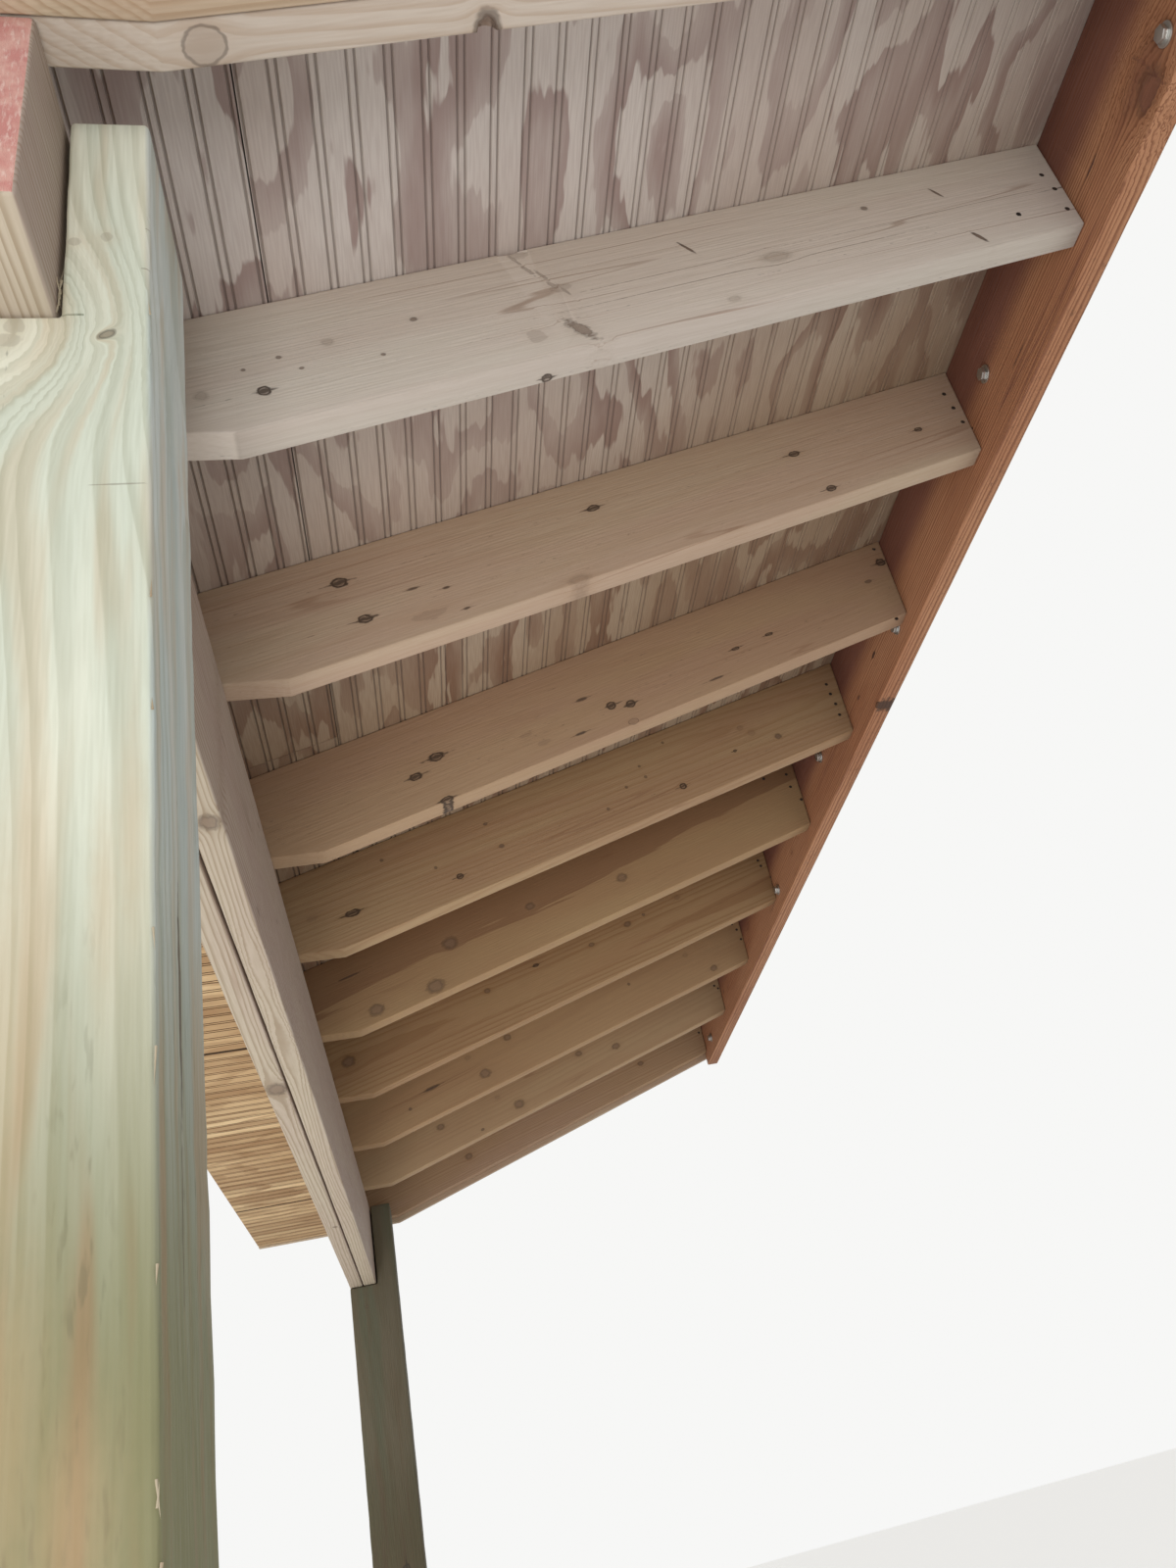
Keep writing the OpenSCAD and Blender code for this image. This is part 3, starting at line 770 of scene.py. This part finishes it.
postSettings = dict(ease=5, slices=110, uneven=2.2, cloud=0.045, slack=2, slitHigh=2.4, slitLong=16,
                    slitDeep=22, past=10, seed=17)
chipSettings = dict(count=34, along=(-120, 1700), wide=(1.5, 4), long=(4, 15), turn=8, rough=0.2)
# painted shade: the edge colours turn the post's house-side face a darker blue grey
nearPostLook = dict(pith=(0, 170, -50), lean=0.03, spacing=12, wander=70, seed=43.0,
                    pale=rgb(0.78, 0.78, 0.65), green=rgb(0.65, 0.69, 0.58), tan=rgb(0.54, 0.38, 0.22),
                    low=rgb(0.20, 0.195, 0.095), lowTan=rgb(0.26, 0.165, 0.085),
                    edge=(rgb(0.60, 0.64, 0.62), rgb(0.48, 0.54, 0.52)), edgeReach=(65, 69.5), top=590,
                    bottom=970)
# painted shade: the far post gets very dark copies of the near post's colours, all over
shadedFarPostLook = dict(nearPostLook, pale=rgb(0.145, 0.125, 0.085), green=rgb(0.12, 0.12, 0.08),
                   tan=rgb(0.135, 0.095, 0.06), low=rgb(0.10, 0.085, 0.05), lowTan=rgb(0.10, 0.07, 0.045),
                   seed=51.0, pith=(0, 20, -90), edge=(rgb(0.13, 0.12, 0.085), rgb(0.11, 0.11, 0.075)))
nearPostKnots = [
    ("curl", 256, 41, 4, 5), ("tan", 760, 0, 90, 8), ("tan", 950, 8, 50, 11), ("tan", 985, 34, 28, 12),
    ("tan", 700, 44, 34, 4), ("tan", 650, 58, 40, 4), ("stain", 246, -17, 10, 7, 70, 20),
    ("stain", 262, -20, 8, 9, 70, 20), ("pencil", 137, 69, 0.9, 3.5, 70, 6),
    ("pencil", 184, 67, 0.9, 5, 70, 6), ("pencil", 401, 50, 0.8, 20, 70, 6),
    ("stain", 147, 40, 6, 5, 70, 6), ("stain", 153, 18, 5, 6, 70, 6), ("dash", 735, 70, 60, 9, 6, 2.8),
    ("dash", 850, 70, 40, 9, 9, 1.0), ("eye", 1380, -20, 12, 9), ("whorl", 246, -12, 44, 32),
]
farPostKnots = [
    ("pin", 297, -25, 4, 4, 70, 10), ("eye", 1000, 20, 12, 9), ("ghost", 1600, -30, 14, 10),
]


def makePost(name, node, look, knots, worn):
    low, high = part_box(node)
    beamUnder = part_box("beam_outer_ply")[0].z
    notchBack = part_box("beam_inner_ply")[1].y + postSettings["slack"] * mm
    post = startBox(name, low, high)
    past = Vector((1, 1, 1)) * postSettings["past"] * mm
    subtract(post, startBox("notch", (low.x - past.x, low.y - past.y, beamUnder),
                            (high.x + past.x, notchBack, high.z + past.z)))
    workBoard(post, postSettings, (0, 0, low.z), (0, 0, high.z))
    if worn:
        wearPost(post, high, beamUnder, notchBack)
    smoothByAngle(post)
    origin = ((low.x + high.x) / 2, (low.y + high.y) / 2, high.z)
    material = woodMaterial(name + "Timber", origin, (0, 0, -1), (0, 1, 0), look, knots, treated)
    return finishPiece(post, material, [node])


def wearPost(post, high, beamUnder, notchBack):  # small chips down one arris, and the saw's overcut
    s = chipSettings
    chance = random.Random(postSettings["seed"])
    chips = [(Vector((high.x, high.y, beamUnder - chance.uniform(*s["along"]) * mm)),
              (chance.uniform(*s["wide"]), chance.uniform(*s["wide"]), chance.uniform(*s["long"])),
              (chance.uniform(-s["turn"], s["turn"]), chance.uniform(-s["turn"], s["turn"]), 0))
             for _ in range(s["count"])]
    carveHollows(post, chips, s["rough"])
    half, deep = postSettings["slitHigh"] / 2 * mm, postSettings["slitDeep"] * mm
    subtract(post, startBox("sawSlit", (high.x - deep, notchBack - mm, beamUnder - half),
                            (high.x + deep, notchBack + postSettings["slitLong"] * mm, beamUnder + half)))


splinterSettings = dict(count=26, thin=0.7, long=(8, 26), gapIn=(2, 8), gapUp=(10, 55), inset=1.6,
                        along=(-100, 1500), lean=9, twist=6, seed=23)


def makeSplinters():  # torn fibres along the post's arris and in the gap behind the beam
    s = splinterSettings
    chance = random.Random(s["seed"])
    low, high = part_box("near_post")
    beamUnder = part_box("beam_outer_ply")[0].z
    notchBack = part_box("beam_inner_ply")[1].y
    splinters = []
    for order in range(s["count"]):
        long = chance.uniform(*s["long"]) * mm
        deselectAll()
        bpy.ops.mesh.primitive_cone_add(vertices=5, radius1=s["thin"] * mm, radius2=0, depth=long)
        splinter = bpy.context.object
        if order % 3 == 0:
            x = high.x - chance.uniform(*s["gapIn"]) * mm
            place = (x, notchBack + mm, beamUnder + chance.uniform(*s["gapUp"]) * mm)
        else:
            inset = s["inset"] * mm
            place = (high.x - inset, high.y - inset, beamUnder - chance.uniform(*s["along"]) * mm)
        lean = chance.uniform(-s["lean"], s["lean"])
        twist = 180 * (order % 2) + chance.uniform(-s["twist"], s["twist"])
        splinter.rotation_euler = (math.radians(lean), math.radians(twist), 0)
        splinter.location = place
        applyPlace(splinter)
        splinters.append(splinter)
    look = dict(pine, pale=rgb(0.46, 0.40, 0.29), blush=rgb(0.42, 0.34, 0.24), seed=61.0)
    material = woodMaterial("splinterWood", (0, 0, 0), (0, 0, -1), (0, 1, 0), look)
    finishPiece(joinAll(splinters, "postSplinters"), material)


# Beaded panels

beadSettings = dict(pitch=39.1, soffitPitch=38.1, halfGap=4.2, halfWidth=1.8, depth=2.0, flat=0.4, weld=0.2,
                    close=0.05, thick=15.9, smooth=25)
# painted shade: the ceiling's far colours are darker shaded copies of its pale, warm and late colours,
# reached towards the far end and towards the ledger
ceilingLook = dict(pale=rgb(0.63, 0.57, 0.53), warm=rgb(0.56, 0.47, 0.42), late=rgb(0.33, 0.24, 0.22),
                   farPale=rgb(0.42, 0.32, 0.225), farWarm=rgb(0.34, 0.235, 0.15),
                   farLate=rgb(0.21, 0.115, 0.07), seed=1.3, seedStep=4.1, bands=5.4, teeth=0.75,
                   share=0.46, lateShare=0.9, toneShare=0.6, stripShare=0.12, grooveShade=0.5,
                   grooveShadeAndJointColour=rgb(0.10, 0.08, 0.075), grooveWidth=1.6, calm=(1.72, 1.25), inward=0.4,
                   farShadeReach=(-1.6, -0.55))
soffitLook = dict(pale=rgb(0.78, 0.585, 0.34), warm=rgb(0.58, 0.385, 0.20), late=rgb(0.27, 0.145, 0.06),
                  farPale=rgb(0.78, 0.585, 0.34), farWarm=rgb(0.58, 0.385, 0.20),
                  farLate=rgb(0.29, 0.155, 0.065), seed=9.0, seedStep=3.3, bands=7.0, teeth=0.42,
                  share=0.4, lateShare=0.6, toneShare=0.6, stripShare=0.75, grooveShade=1.0,
                  grooveShadeAndJointColour=rgb(0.045, 0.025, 0.012), grooveWidth=2.6, calm=(-3.0, -2.5), inward=0.0,
                  farShadeReach=(0.0, 1.0), sheet=1.2192, jointWidth=5)
ceilingNodes = ("ceiling_upper_near", "ceiling_upper_far", "ceiling_lower_near", "ceiling_lower_far")


def beadedSlab(name, length, acrossLow, acrossHigh, firstBead, pitch, thickness):
    # flat on the ground plane: beads along X, the beaded face down, Y across
    first = math.floor((acrossLow - firstBead) / pitch)
    last = math.ceil((acrossHigh - firstBead) / pitch)
    middle = firstBead + first * pitch
    deselectAll()
    bpy.ops.mesh.primitive_plane_add(size=1, location=(0, middle, 0))
    slab = nameIt(bpy.context.object, name)
    slab.scale = (length, pitch, 1)
    applyPlace(slab)
    s = beadSettings
    gap, half, flat = s["halfGap"] * mm, s["halfWidth"] * mm, s["halfWidth"] * mm * s["flat"]
    for centre in (middle - gap, middle + gap):
        for offset in (-half, -flat, flat, half):
            editAll(slab)
            bpy.ops.mesh.bisect(plane_co=(0, centre + offset, 0), plane_no=(0, 1, 0))
    leaveEdit()
    editSome(slab, lambda co: abs(abs(co.y - middle) - gap) < (half + flat) / 2)
    bpy.ops.transform.translate(value=(0, 0, s["depth"] * mm))
    leaveEdit()
    applyModifier(slab, "repeat", "ARRAY", count=last - first + 1, use_relative_offset=False,
                  use_constant_offset=True, constant_offset_displace=(0, pitch, 0),
                  use_merge_vertices=True, merge_threshold=s["weld"] * mm)
    for edge, side in ((acrossLow, -1), (acrossHigh, 1)):
        editAll(slab)
        bpy.ops.mesh.bisect(plane_co=(0, edge, 0), plane_no=(0, side, 0), clear_outer=True)
        leaveEdit()
    editAll(slab)
    bpy.ops.mesh.extrude_region_move(TRANSFORM_OT_translate={"value": (0, 0, thickness)})
    bpy.ops.transform.resize(value=(1, 1, 0), center_override=(0, 0, thickness))
    bpy.ops.mesh.select_all(action="SELECT")
    bpy.ops.mesh.remove_doubles(threshold=s["close"] * mm)
    bpy.ops.mesh.normals_make_consistent(inside=False)
    leaveEdit()
    return slab


def veneerMaterial(name, origin, along, across, firstBead, pitch, look):
    material, g, shader = startMaterial(name)
    vector = boardCoordinates(g, origin, along, across)
    figure = g.group(rotaryVeneer, Vector=vector, Seed=look["seed"], Bands=look["bands"], Share=look["share"],
                     Teeth=look["teeth"])
    along, across = g.split(vector)[:2]
    bead = g.group(beadGrooves, Across=across, First=firstBead, Pitch=pitch,
                   HalfWidth=look["grooveWidth"] * mm)
    # painted shade: the colours darken towards the far end and, by inward, towards the ledger
    inward = g.fade(across, 0.9, 0.1, 0.0, look["inward"])
    far = g.fade(g.plus(along, inward), *look["farShadeReach"])
    pale, warm, late = [g.mix(far, look[key], look["far" + key.title()]) for key in ("pale", "warm", "late")]
    colour = g.coat(pale, warm, g.fade(figure["Tone"], 0.35, 0.62), look["toneShare"])
    colour = g.coat(colour, late, bead["Strip"], look["stripShare"])
    strong = g.times(g.fade(figure["Tone"], 0.62, 0.36, 0.6, 1.0), look["lateShare"])
    calmed = g.fade(across, *look["calm"], 0.35, 1.0)
    colour = g.coat(colour, late, figure["Late"], g.times(strong, calmed))
    fine = g.fade(figure["Fibre"], 0.3, 0.7)
    colour = g.coat(colour, late, fine, 0.18)
    # painted shade: the grooves, already cut in the geometry, are darkened in colour too
    colour = g.coat(colour, look["grooveShadeAndJointColour"], bead["Groove"], look["grooveShade"])
    if "sheet" in look:
        joint = g.group(beadGrooves, Across=across, First=firstBead, Pitch=look["sheet"], HalfGap=0.0,
                        HalfWidth=look["jointWidth"] * mm)
        colour = g.mix(joint["Groove"], colour, look["grooveShadeAndJointColour"])
    dressShader(g, shader, colour, g.plus(0.62, g.times(fine, 0.15)), 0.28)
    woodRelief(g, shader, vector, look["seed"], 0.0004)
    bounceColour(g, shader, look["farPale"])
    return material


def makeCeiling():
    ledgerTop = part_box("rafter_2")[1]
    start = Vector((0, ledgerTop.y, ledgerTop.z))
    joint = (start.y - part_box("ceiling_lower_near")[1].y) / math.cos(roofPitch)
    pitch = beadSettings["pitch"] * mm
    thick = beadSettings["thick"] * mm
    for order, node in enumerate(ceilingNodes):
        low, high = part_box(node)
        acrossLow = (start.y - high.y) / math.cos(roofPitch) - thick
        acrossHigh = (start.y - low.y) / math.cos(roofPitch) + thick
        slab = beadedSlab(f"beadedCeiling{order + 1}", high.x - low.x, acrossLow, acrossHigh, joint, pitch,
                          thick)
        slab.rotation_euler = Matrix(((-1, 0, 0), slopeDown, roofUp)).transposed().to_euler()
        slab.location = start + Vector(((low.x + high.x) / 2, 0, 0))
        applyPlace(slab)
        cutOff(slab, high, (0, 1, 0))
        cutOff(slab, low, (0, -1, 0))
        look = dict(ceilingLook, seed=ceilingLook["seed"] + order * ceilingLook["seedStep"])
        material = veneerMaterial(f"beadedPly{order + 1}", start, (-1, 0, 0), slopeDown, joint, pitch, look)
        finishPiece(slab, material, [node])
        smoothByAngle(slab, beadSettings["smooth"])


def makeSoffit():
    pitch = beadSettings["soffitPitch"] * mm
    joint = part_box("soffit_4")[1].x
    for i in range(1, 5):
        low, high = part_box(f"soffit_{i}")
        slab = beadedSlab(f"beadedSoffit{i}", high.y - low.y, low.x, high.x, joint, pitch, high.z - low.z)
        slab.rotation_euler = Matrix(((0, -1, 0), (1, 0, 0), (0, 0, 1))).transposed().to_euler()
        slab.location = (0, (low.y + high.y) / 2, low.z)
        applyPlace(slab)
        look = dict(soffitLook, seed=soffitLook["seed"] + i * soffitLook["seedStep"])
        material = veneerMaterial(f"beadedSoffitPly{i}", (0, 0, 0), (0, -1, 0), (1, 0, 0), joint, pitch, look)
        finishPiece(slab, material, [f"soffit_{i}"])
        smoothByAngle(slab, beadSettings["smooth"])


# Trim boards

trimSettings = dict(ease=2, slices=40, uneven=0.6, cloud=0.08)
trimLook = dict(pine, pale=rgb(0.53, 0.42, 0.30), spacing=4, pith=(0, -200, -200), lean=0.006, share=0.45)
rakeKnots = [("round", 500, 70, 9, 7), ("round", 1100, 120, 11, 8), ("eye", 1400, 60, 8, 6)]
fasciaKnots = [("round", 900, 35, 8, 6), ("round", 2300, 60, 10, 8)]


def makeRakeBoard(name, node, seed):
    low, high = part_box(node)
    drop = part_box("rafter_1")[0].z - low.z
    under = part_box("rafter_1")[1] - roofUp * rafterSettings["width"] * mm
    board = startBox(name, low, high)
    cutOff(board, high, roofUp)
    cutOff(board, Vector((0, under.y, under.z - drop)), -roofUp)
    workBoard(board, trimSettings, (0, high.y, 0), (0, low.y, 0))
    smoothByAngle(board)
    look = dict(trimLook, seed=seed)
    material = woodMaterial(name + "Pine", high, slopeDown, -roofUp, look, rakeKnots)
    finishPiece(board, material, [node])


def makeFascia():
    low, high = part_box("fascia")
    board = startBox("fasciaBoard", low, high)
    cutOff(board, Vector((0, high.y, high.z)), roofUp)
    workBoard(board, trimSettings, (low.x, 0, 0), (high.x, 0, 0))
    smoothByAngle(board)
    look = dict(trimLook, seed=25.0)
    material = woodMaterial("fasciaPine", high, (-1, 0, 0), (0, 0, -1), look, fasciaKnots)
    finishPiece(board, material, ["fascia"])


# Shingles

shingleSettings = dict(exposure=130, thick=2.6, lap=30, tab=(90, 210), gap=(40, 120), least=20, stagger=100,
                       setBack=3, lift=1, ease=0.7, seed=12)


def shingleMaterial():
    material, g, shader = startMaterial("roofShingle")
    vector = objectPlace(g)
    speck = g.group(granules, Vector=vector, Scale=420.0)
    tone = g.made("Attribute", attribute_name="tabTone").outputs["Fac"]
    colour = g.mix(tone, rgb(0.055, 0.05, 0.047), rgb(0.17, 0.15, 0.135))
    colour = g.coat(colour, rgb(0.26, 0.24, 0.215), speck["Mask"], 0.5)
    colour = g.coat(colour, rgb(0.05, 0.045, 0.045), g.fade(g.noise(vector, 1.8, 3.0), 0.45, 0.7), 0.35)
    dressShader(g, shader, colour, 0.92, 0.25)
    addBump(g, shader, speck["Height"], 0.0008, 0.8)
    return material


def makeShingles():  # each course is a whole sheet with separate tabs on it
    s = shingleSettings
    chance = random.Random(s["seed"])
    low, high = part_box("shingles")
    exposure, thick = s["exposure"] * mm, s["thick"] * mm
    run = (high.y - low.y) / math.cos(roofPitch) - s["setBack"] * mm
    foot = Vector((0, low.y, low.z)) - slopeDown * s["setBack"] * mm
    tilt = math.atan2(thick, exposure)
    tabs = []
    for course in range(math.ceil(run / exposure)):
        start = course * exposure
        length = min(exposure + s["lap"] * mm, run - start)
        rows = [(low.x, high.x, 0.0, 0.35 + 0.2 * chance.random())]
        x = low.x - chance.uniform(0, s["stagger"] * mm)
        while x < high.x:
            width = chance.uniform(*s["tab"]) * mm
            left, right = max(x, low.x), min(x + width, high.x)
            if right - left > s["least"] * mm:
                rows.append((left, right, 1.0, chance.random()))
            x += width + chance.uniform(*s["gap"]) * mm
        for left, right, level, tone in rows:
            tab = startBox("tab", (left, 0, 0), (right, length, thick))
            easeArrises(tab, s["ease"] * mm, 1)
            attribute = tab.data.attributes.new("tabTone", "FLOAT", "POINT")
            attribute.data.foreach_set("value", [tone] * len(tab.data.vertices))
            tab.rotation_euler = (roofPitch - tilt * (0.6 + 0.4 * level), 0, 0)
            up = s["lift"] * mm + thick * (0.8 + level * 0.95)
            tab.location = foot - slopeDown * start + roofUp * up
            applyPlace(tab)
            tabs.append(tab)
    finishPiece(joinAll(tabs, "shingleCourses"), shingleMaterial(), ["shingles"])


# Metal

def metalMaterial(name, colour, rough, seed):
    material, g, shader = startMaterial(name)
    vector = g.vector("ADD", objectPlace(g), (seed, seed, seed))
    smear = g.noise(vector, (2.0, 14.0, 14.0), 4.0, 0.6)
    dull = rgb(colour[0] * 0.6, colour[1] * 0.6, colour[2] * 0.62)
    spots = g.times(g.noise(vector, 60.0, 3.0), 0.18)
    dressShader(g, shader, g.coat(colour, dull, g.fade(smear, 0.4, 0.75), 0.3), g.plus(rough, spots))
    shader.inputs["Metallic"].default_value = 1.0
    addBump(g, shader, smear, 0.0006, 0.4)
    return material


boltSettings = dict(low=52, high=120, first=145, spaces=3, head=8, flats=19, headEase=0.9, washer=30,
                    washerThick=2.5, washerEase=0.6, turn=17)


def makeDisc(vertices, radius, bottom, thick, ease):
    deselectAll()
    bpy.ops.mesh.primitive_cylinder_add(vertices=vertices, radius=radius * mm, depth=thick * mm,
                                        location=(0, 0, (bottom + thick / 2) * mm))
    disc = bpy.context.object
    easeArrises(disc, ease * mm, 2, 50)
    applyPlace(disc)
    return disc


def makeBolts():
    s = boltSettings
    low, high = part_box("ledger")
    head = makeDisc(6, s["flats"] / 2 / math.cos(math.pi / 6), s["washerThick"], s["head"], s["headEase"])
    washer = makeDisc(40, s["washer"] / 2, 0, s["washerThick"], s["washerEase"])
    model = joinAll([head, washer], "boltModel")
    smoothByAngle(model)
    step = (high.x - low.x - 2 * s["first"] * mm) / s["spaces"]
    spots = [(high.x - s["first"] * mm - i * step, s["low"]) for i in range(s["spaces"] + 1)]
    spots += [(high.x - s["first"] * mm - (i + 0.5) * step, s["high"]) for i in range(s["spaces"])]
    places = [((x, low.y, low.z + height * mm), (90, s["turn"] * order, 0))
              for order, (x, height) in enumerate(spots)]
    material = metalMaterial("zincBolt", rgb(0.62, 0.62, 0.60), 0.3, 5)
    finishPiece(scatter(model, "ledgerBoltHeads", places), material, ["ledger_bolts"])


nailSettings = dict(head=4.0, thick=1.2, ease=0.3, sunk=0.5, tilt=9, fromLedger=45, across=(52, 82, 112, 142),
                    loose=8, skewSlope=0.0286, seed=31)
nailPlaces = {  # along and across from the rafter's back edge, where they show best
    2: ((48, 69), (51, 103), (65, 148), (149, 137)),
    4: ((23, 15), (41, 74), (45, 117), (89, 186)),
    5: ((46, 50), (53, 77), (58, 106), (67, 135)),
    6: ((99, 17), (37, 31), (48, 68), (44, 113)),
}


def makeNails():
    s = nailSettings
    chance = random.Random(s["seed"])
    deselectAll()
    bpy.ops.mesh.primitive_cylinder_add(vertices=12, radius=s["head"] * mm, depth=s["thick"] * mm)
    model = nameIt(bpy.context.object, "nailModel")
    easeArrises(model, s["ease"] * mm, 1, 50)
    smoothByAngle(model)
    places = []
    for i in range(1, rafterSettings["count"] + 1):
        spread = [(s["fromLedger"] + chance.uniform(-s["loose"], s["loose"]),
                   across + chance.uniform(-s["loose"], s["loose"])) for across in s["across"]]
        for along, across in nailPlaces.get(i, spread):
            skew = along * s["skewSlope"] if i == rafterSettings["skewed"] else 0
            place = onRafter(i, along, across, rafterSettings["thick"] / 2 - s["sunk"] - skew)
            places.append((place, (0, 90 + chance.uniform(-s["tilt"], s["tilt"]), 0)))
    # the dark heads are partly rust and partly painted shade of their sunk holes
    material = metalMaterial("nailSteelRustAndShade", rgb(0.10, 0.088, 0.08), 0.55, 8)
    finishPiece(scatter(model, "rafterNails", places), material)


# Felt and sheet metal

def feltMaterial():
    material, g, shader = startMaterial("blackFelt")
    mottle = g.noise(objectPlace(g), 40.0, 4.0)
    dressShader(g, shader, g.mix(mottle, rgb(0.03, 0.03, 0.03), rgb(0.07, 0.07, 0.068)), 0.85)
    addBump(g, shader, mottle, 0.0006, 0.5)
    return material


def dress(node, material):  # gives a kept solid its finish
    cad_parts[node].data.materials.clear()
    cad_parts[node].data.materials.append(material)


# Making everything

sealedEnd = sealedEndMaterial()
makeLedger()
for number in range(1, rafterSettings["count"] + 1):
    makeRafter(number)
print("ledger and rafters made")
makeBeamPly("beamInner", "beam_inner_ply", 31.0, innerKnots, nickPlaces)
makeBeamPly("beamOuter", "beam_outer_ply", 37.0, outerKnots, ())
makePost("nearPost", "near_post", nearPostLook, nearPostKnots, True)
makePost("farPost", "far_post", shadedFarPostLook, farPostKnots, False)
makeSplinters()
print("beam and posts made")
makeCeiling()
makeSoffit()
print("beaded panels made")
makeRakeBoard("nearRake", "near_rake_board", 21.0)
makeRakeBoard("farRake", "far_rake_board", 22.0)
makeFascia()
makeShingles()
makeBolts()
makeNails()
dripMetal = metalMaterial("dripMetal", rgb(0.80, 0.80, 0.78), 0.35, 1)
for node in ("eave_drip_edge", "near_drip_edge", "far_drip_edge"):
    dress(node, dripMetal)
dress("wall_flashing", metalMaterial("flashingMetal", rgb(0.62, 0.63, 0.64), 0.4, 2))
dress("roof_felt", feltMaterial())
print("trim, roofing and fasteners made")


# Camera

# worked out from the photograph, in mm and pixels
cameraSettings = dict(place=(2345.4, -1077.8, -1491.8), right=(0.1637, 0.9608, -0.2239),
                      down=(-0.5136, -0.1107, -0.8508), ahead=(-0.8422, 0.2543, 0.4753),
                      focal=1232.8, centre=(719.9, 848.1), frameSize=(1200, 1600))


def makeCamera():
    s = cameraSettings
    wide, tall = s["frameSize"]
    data = bpy.data.cameras.new("photoCamera")
    data.sensor_width = 36
    data.lens = s["focal"] / tall * 36
    data.shift_x = (wide / 2 - s["centre"][0]) / tall
    data.shift_y = (s["centre"][1] - tall / 2) / tall
    data.clip_end = 200
    camera = bpy.data.objects.new("photoCamera", data)
    bpy.context.scene.collection.objects.link(camera)
    axes = Matrix((Vector(s["right"]), -Vector(s["down"]), -Vector(s["ahead"]))).transposed()
    camera.matrix_world = Matrix.Translation(Vector(s["place"]) * mm) @ axes.to_4x4()
    bpy.context.scene.camera = camera


# Studio

studioSettings = dict(floorSize=60, paper=rgb(0.82, 0.81, 0.79), lift=0.3, ambient=0.72,
                      backdrop=rgb(0.93, 0.93, 0.92))
lamps = {  # place, target, size and power
    "gardenLamp": ((0.2, -2.0, -2.9), (0, -1.1, 0), (4, 1.2), 60),
    "nearLamp": ((3.4, -1.2, -2.0), (0.5, -1.1, -0.4), (0.8, 0.8), 22),
    "roofLamp": ((-1.5, -4.5, 4.5), (0, -0.8, 0), (5, 4), 90),
}


def makeLamps():
    for name, (place, target, size, power) in lamps.items():
        data = bpy.data.lights.new(name, "AREA")
        data.shape = "RECTANGLE"
        data.size, data.size_y = size
        data.energy = power
        lamp = bpy.data.objects.new(name, data)
        lamp.location = place
        lamp.rotation_euler = (Vector(target) - Vector(place)).to_track_quat("-Z", "Y").to_euler()
        lamp.visible_camera = False
        bpy.context.scene.collection.objects.link(lamp)


def makeStudio():
    s = studioSettings
    deselectAll()
    bpy.ops.mesh.primitive_grid_add(x_subdivisions=4, y_subdivisions=4, size=s["floorSize"],
                                    location=(0, 0, floorLevel))
    floor = nameIt(bpy.context.object, "studioFloor")
    material, g, shader = startMaterial("studioPaper")
    lifted = g.times(g.made("LightPath").outputs["Is Camera Ray"], s["lift"])
    dressShader(g, shader, s["paper"], 0.9)
    g.feed(shader.inputs["Emission Color"], s["paper"])
    g.feed(shader.inputs["Emission Strength"], lifted)
    floor.data.materials.append(material)
    world = bpy.data.worlds.new("studio")
    bpy.context.scene.world = world
    world.use_nodes = True
    g = nodeGraph(world.node_tree)
    path = g.made("LightPath").outputs
    seen = g.calc("MAXIMUM", path["Is Glossy Ray"], path["Is Transmission Ray"])
    seen = g.calc("MAXIMUM", path["Is Camera Ray"], seen)
    background = world.node_tree.nodes["Background"]
    background.inputs["Color"].default_value = s["backdrop"]
    g.feed(background.inputs["Strength"], g.plus(s["ambient"], g.times(seen, 1 - s["ambient"])))


makeCamera()
makeLamps()
makeStudio()
bpy.context.scene.view_settings.view_transform = "Standard"
print("camera and studio made")

deselectAll()
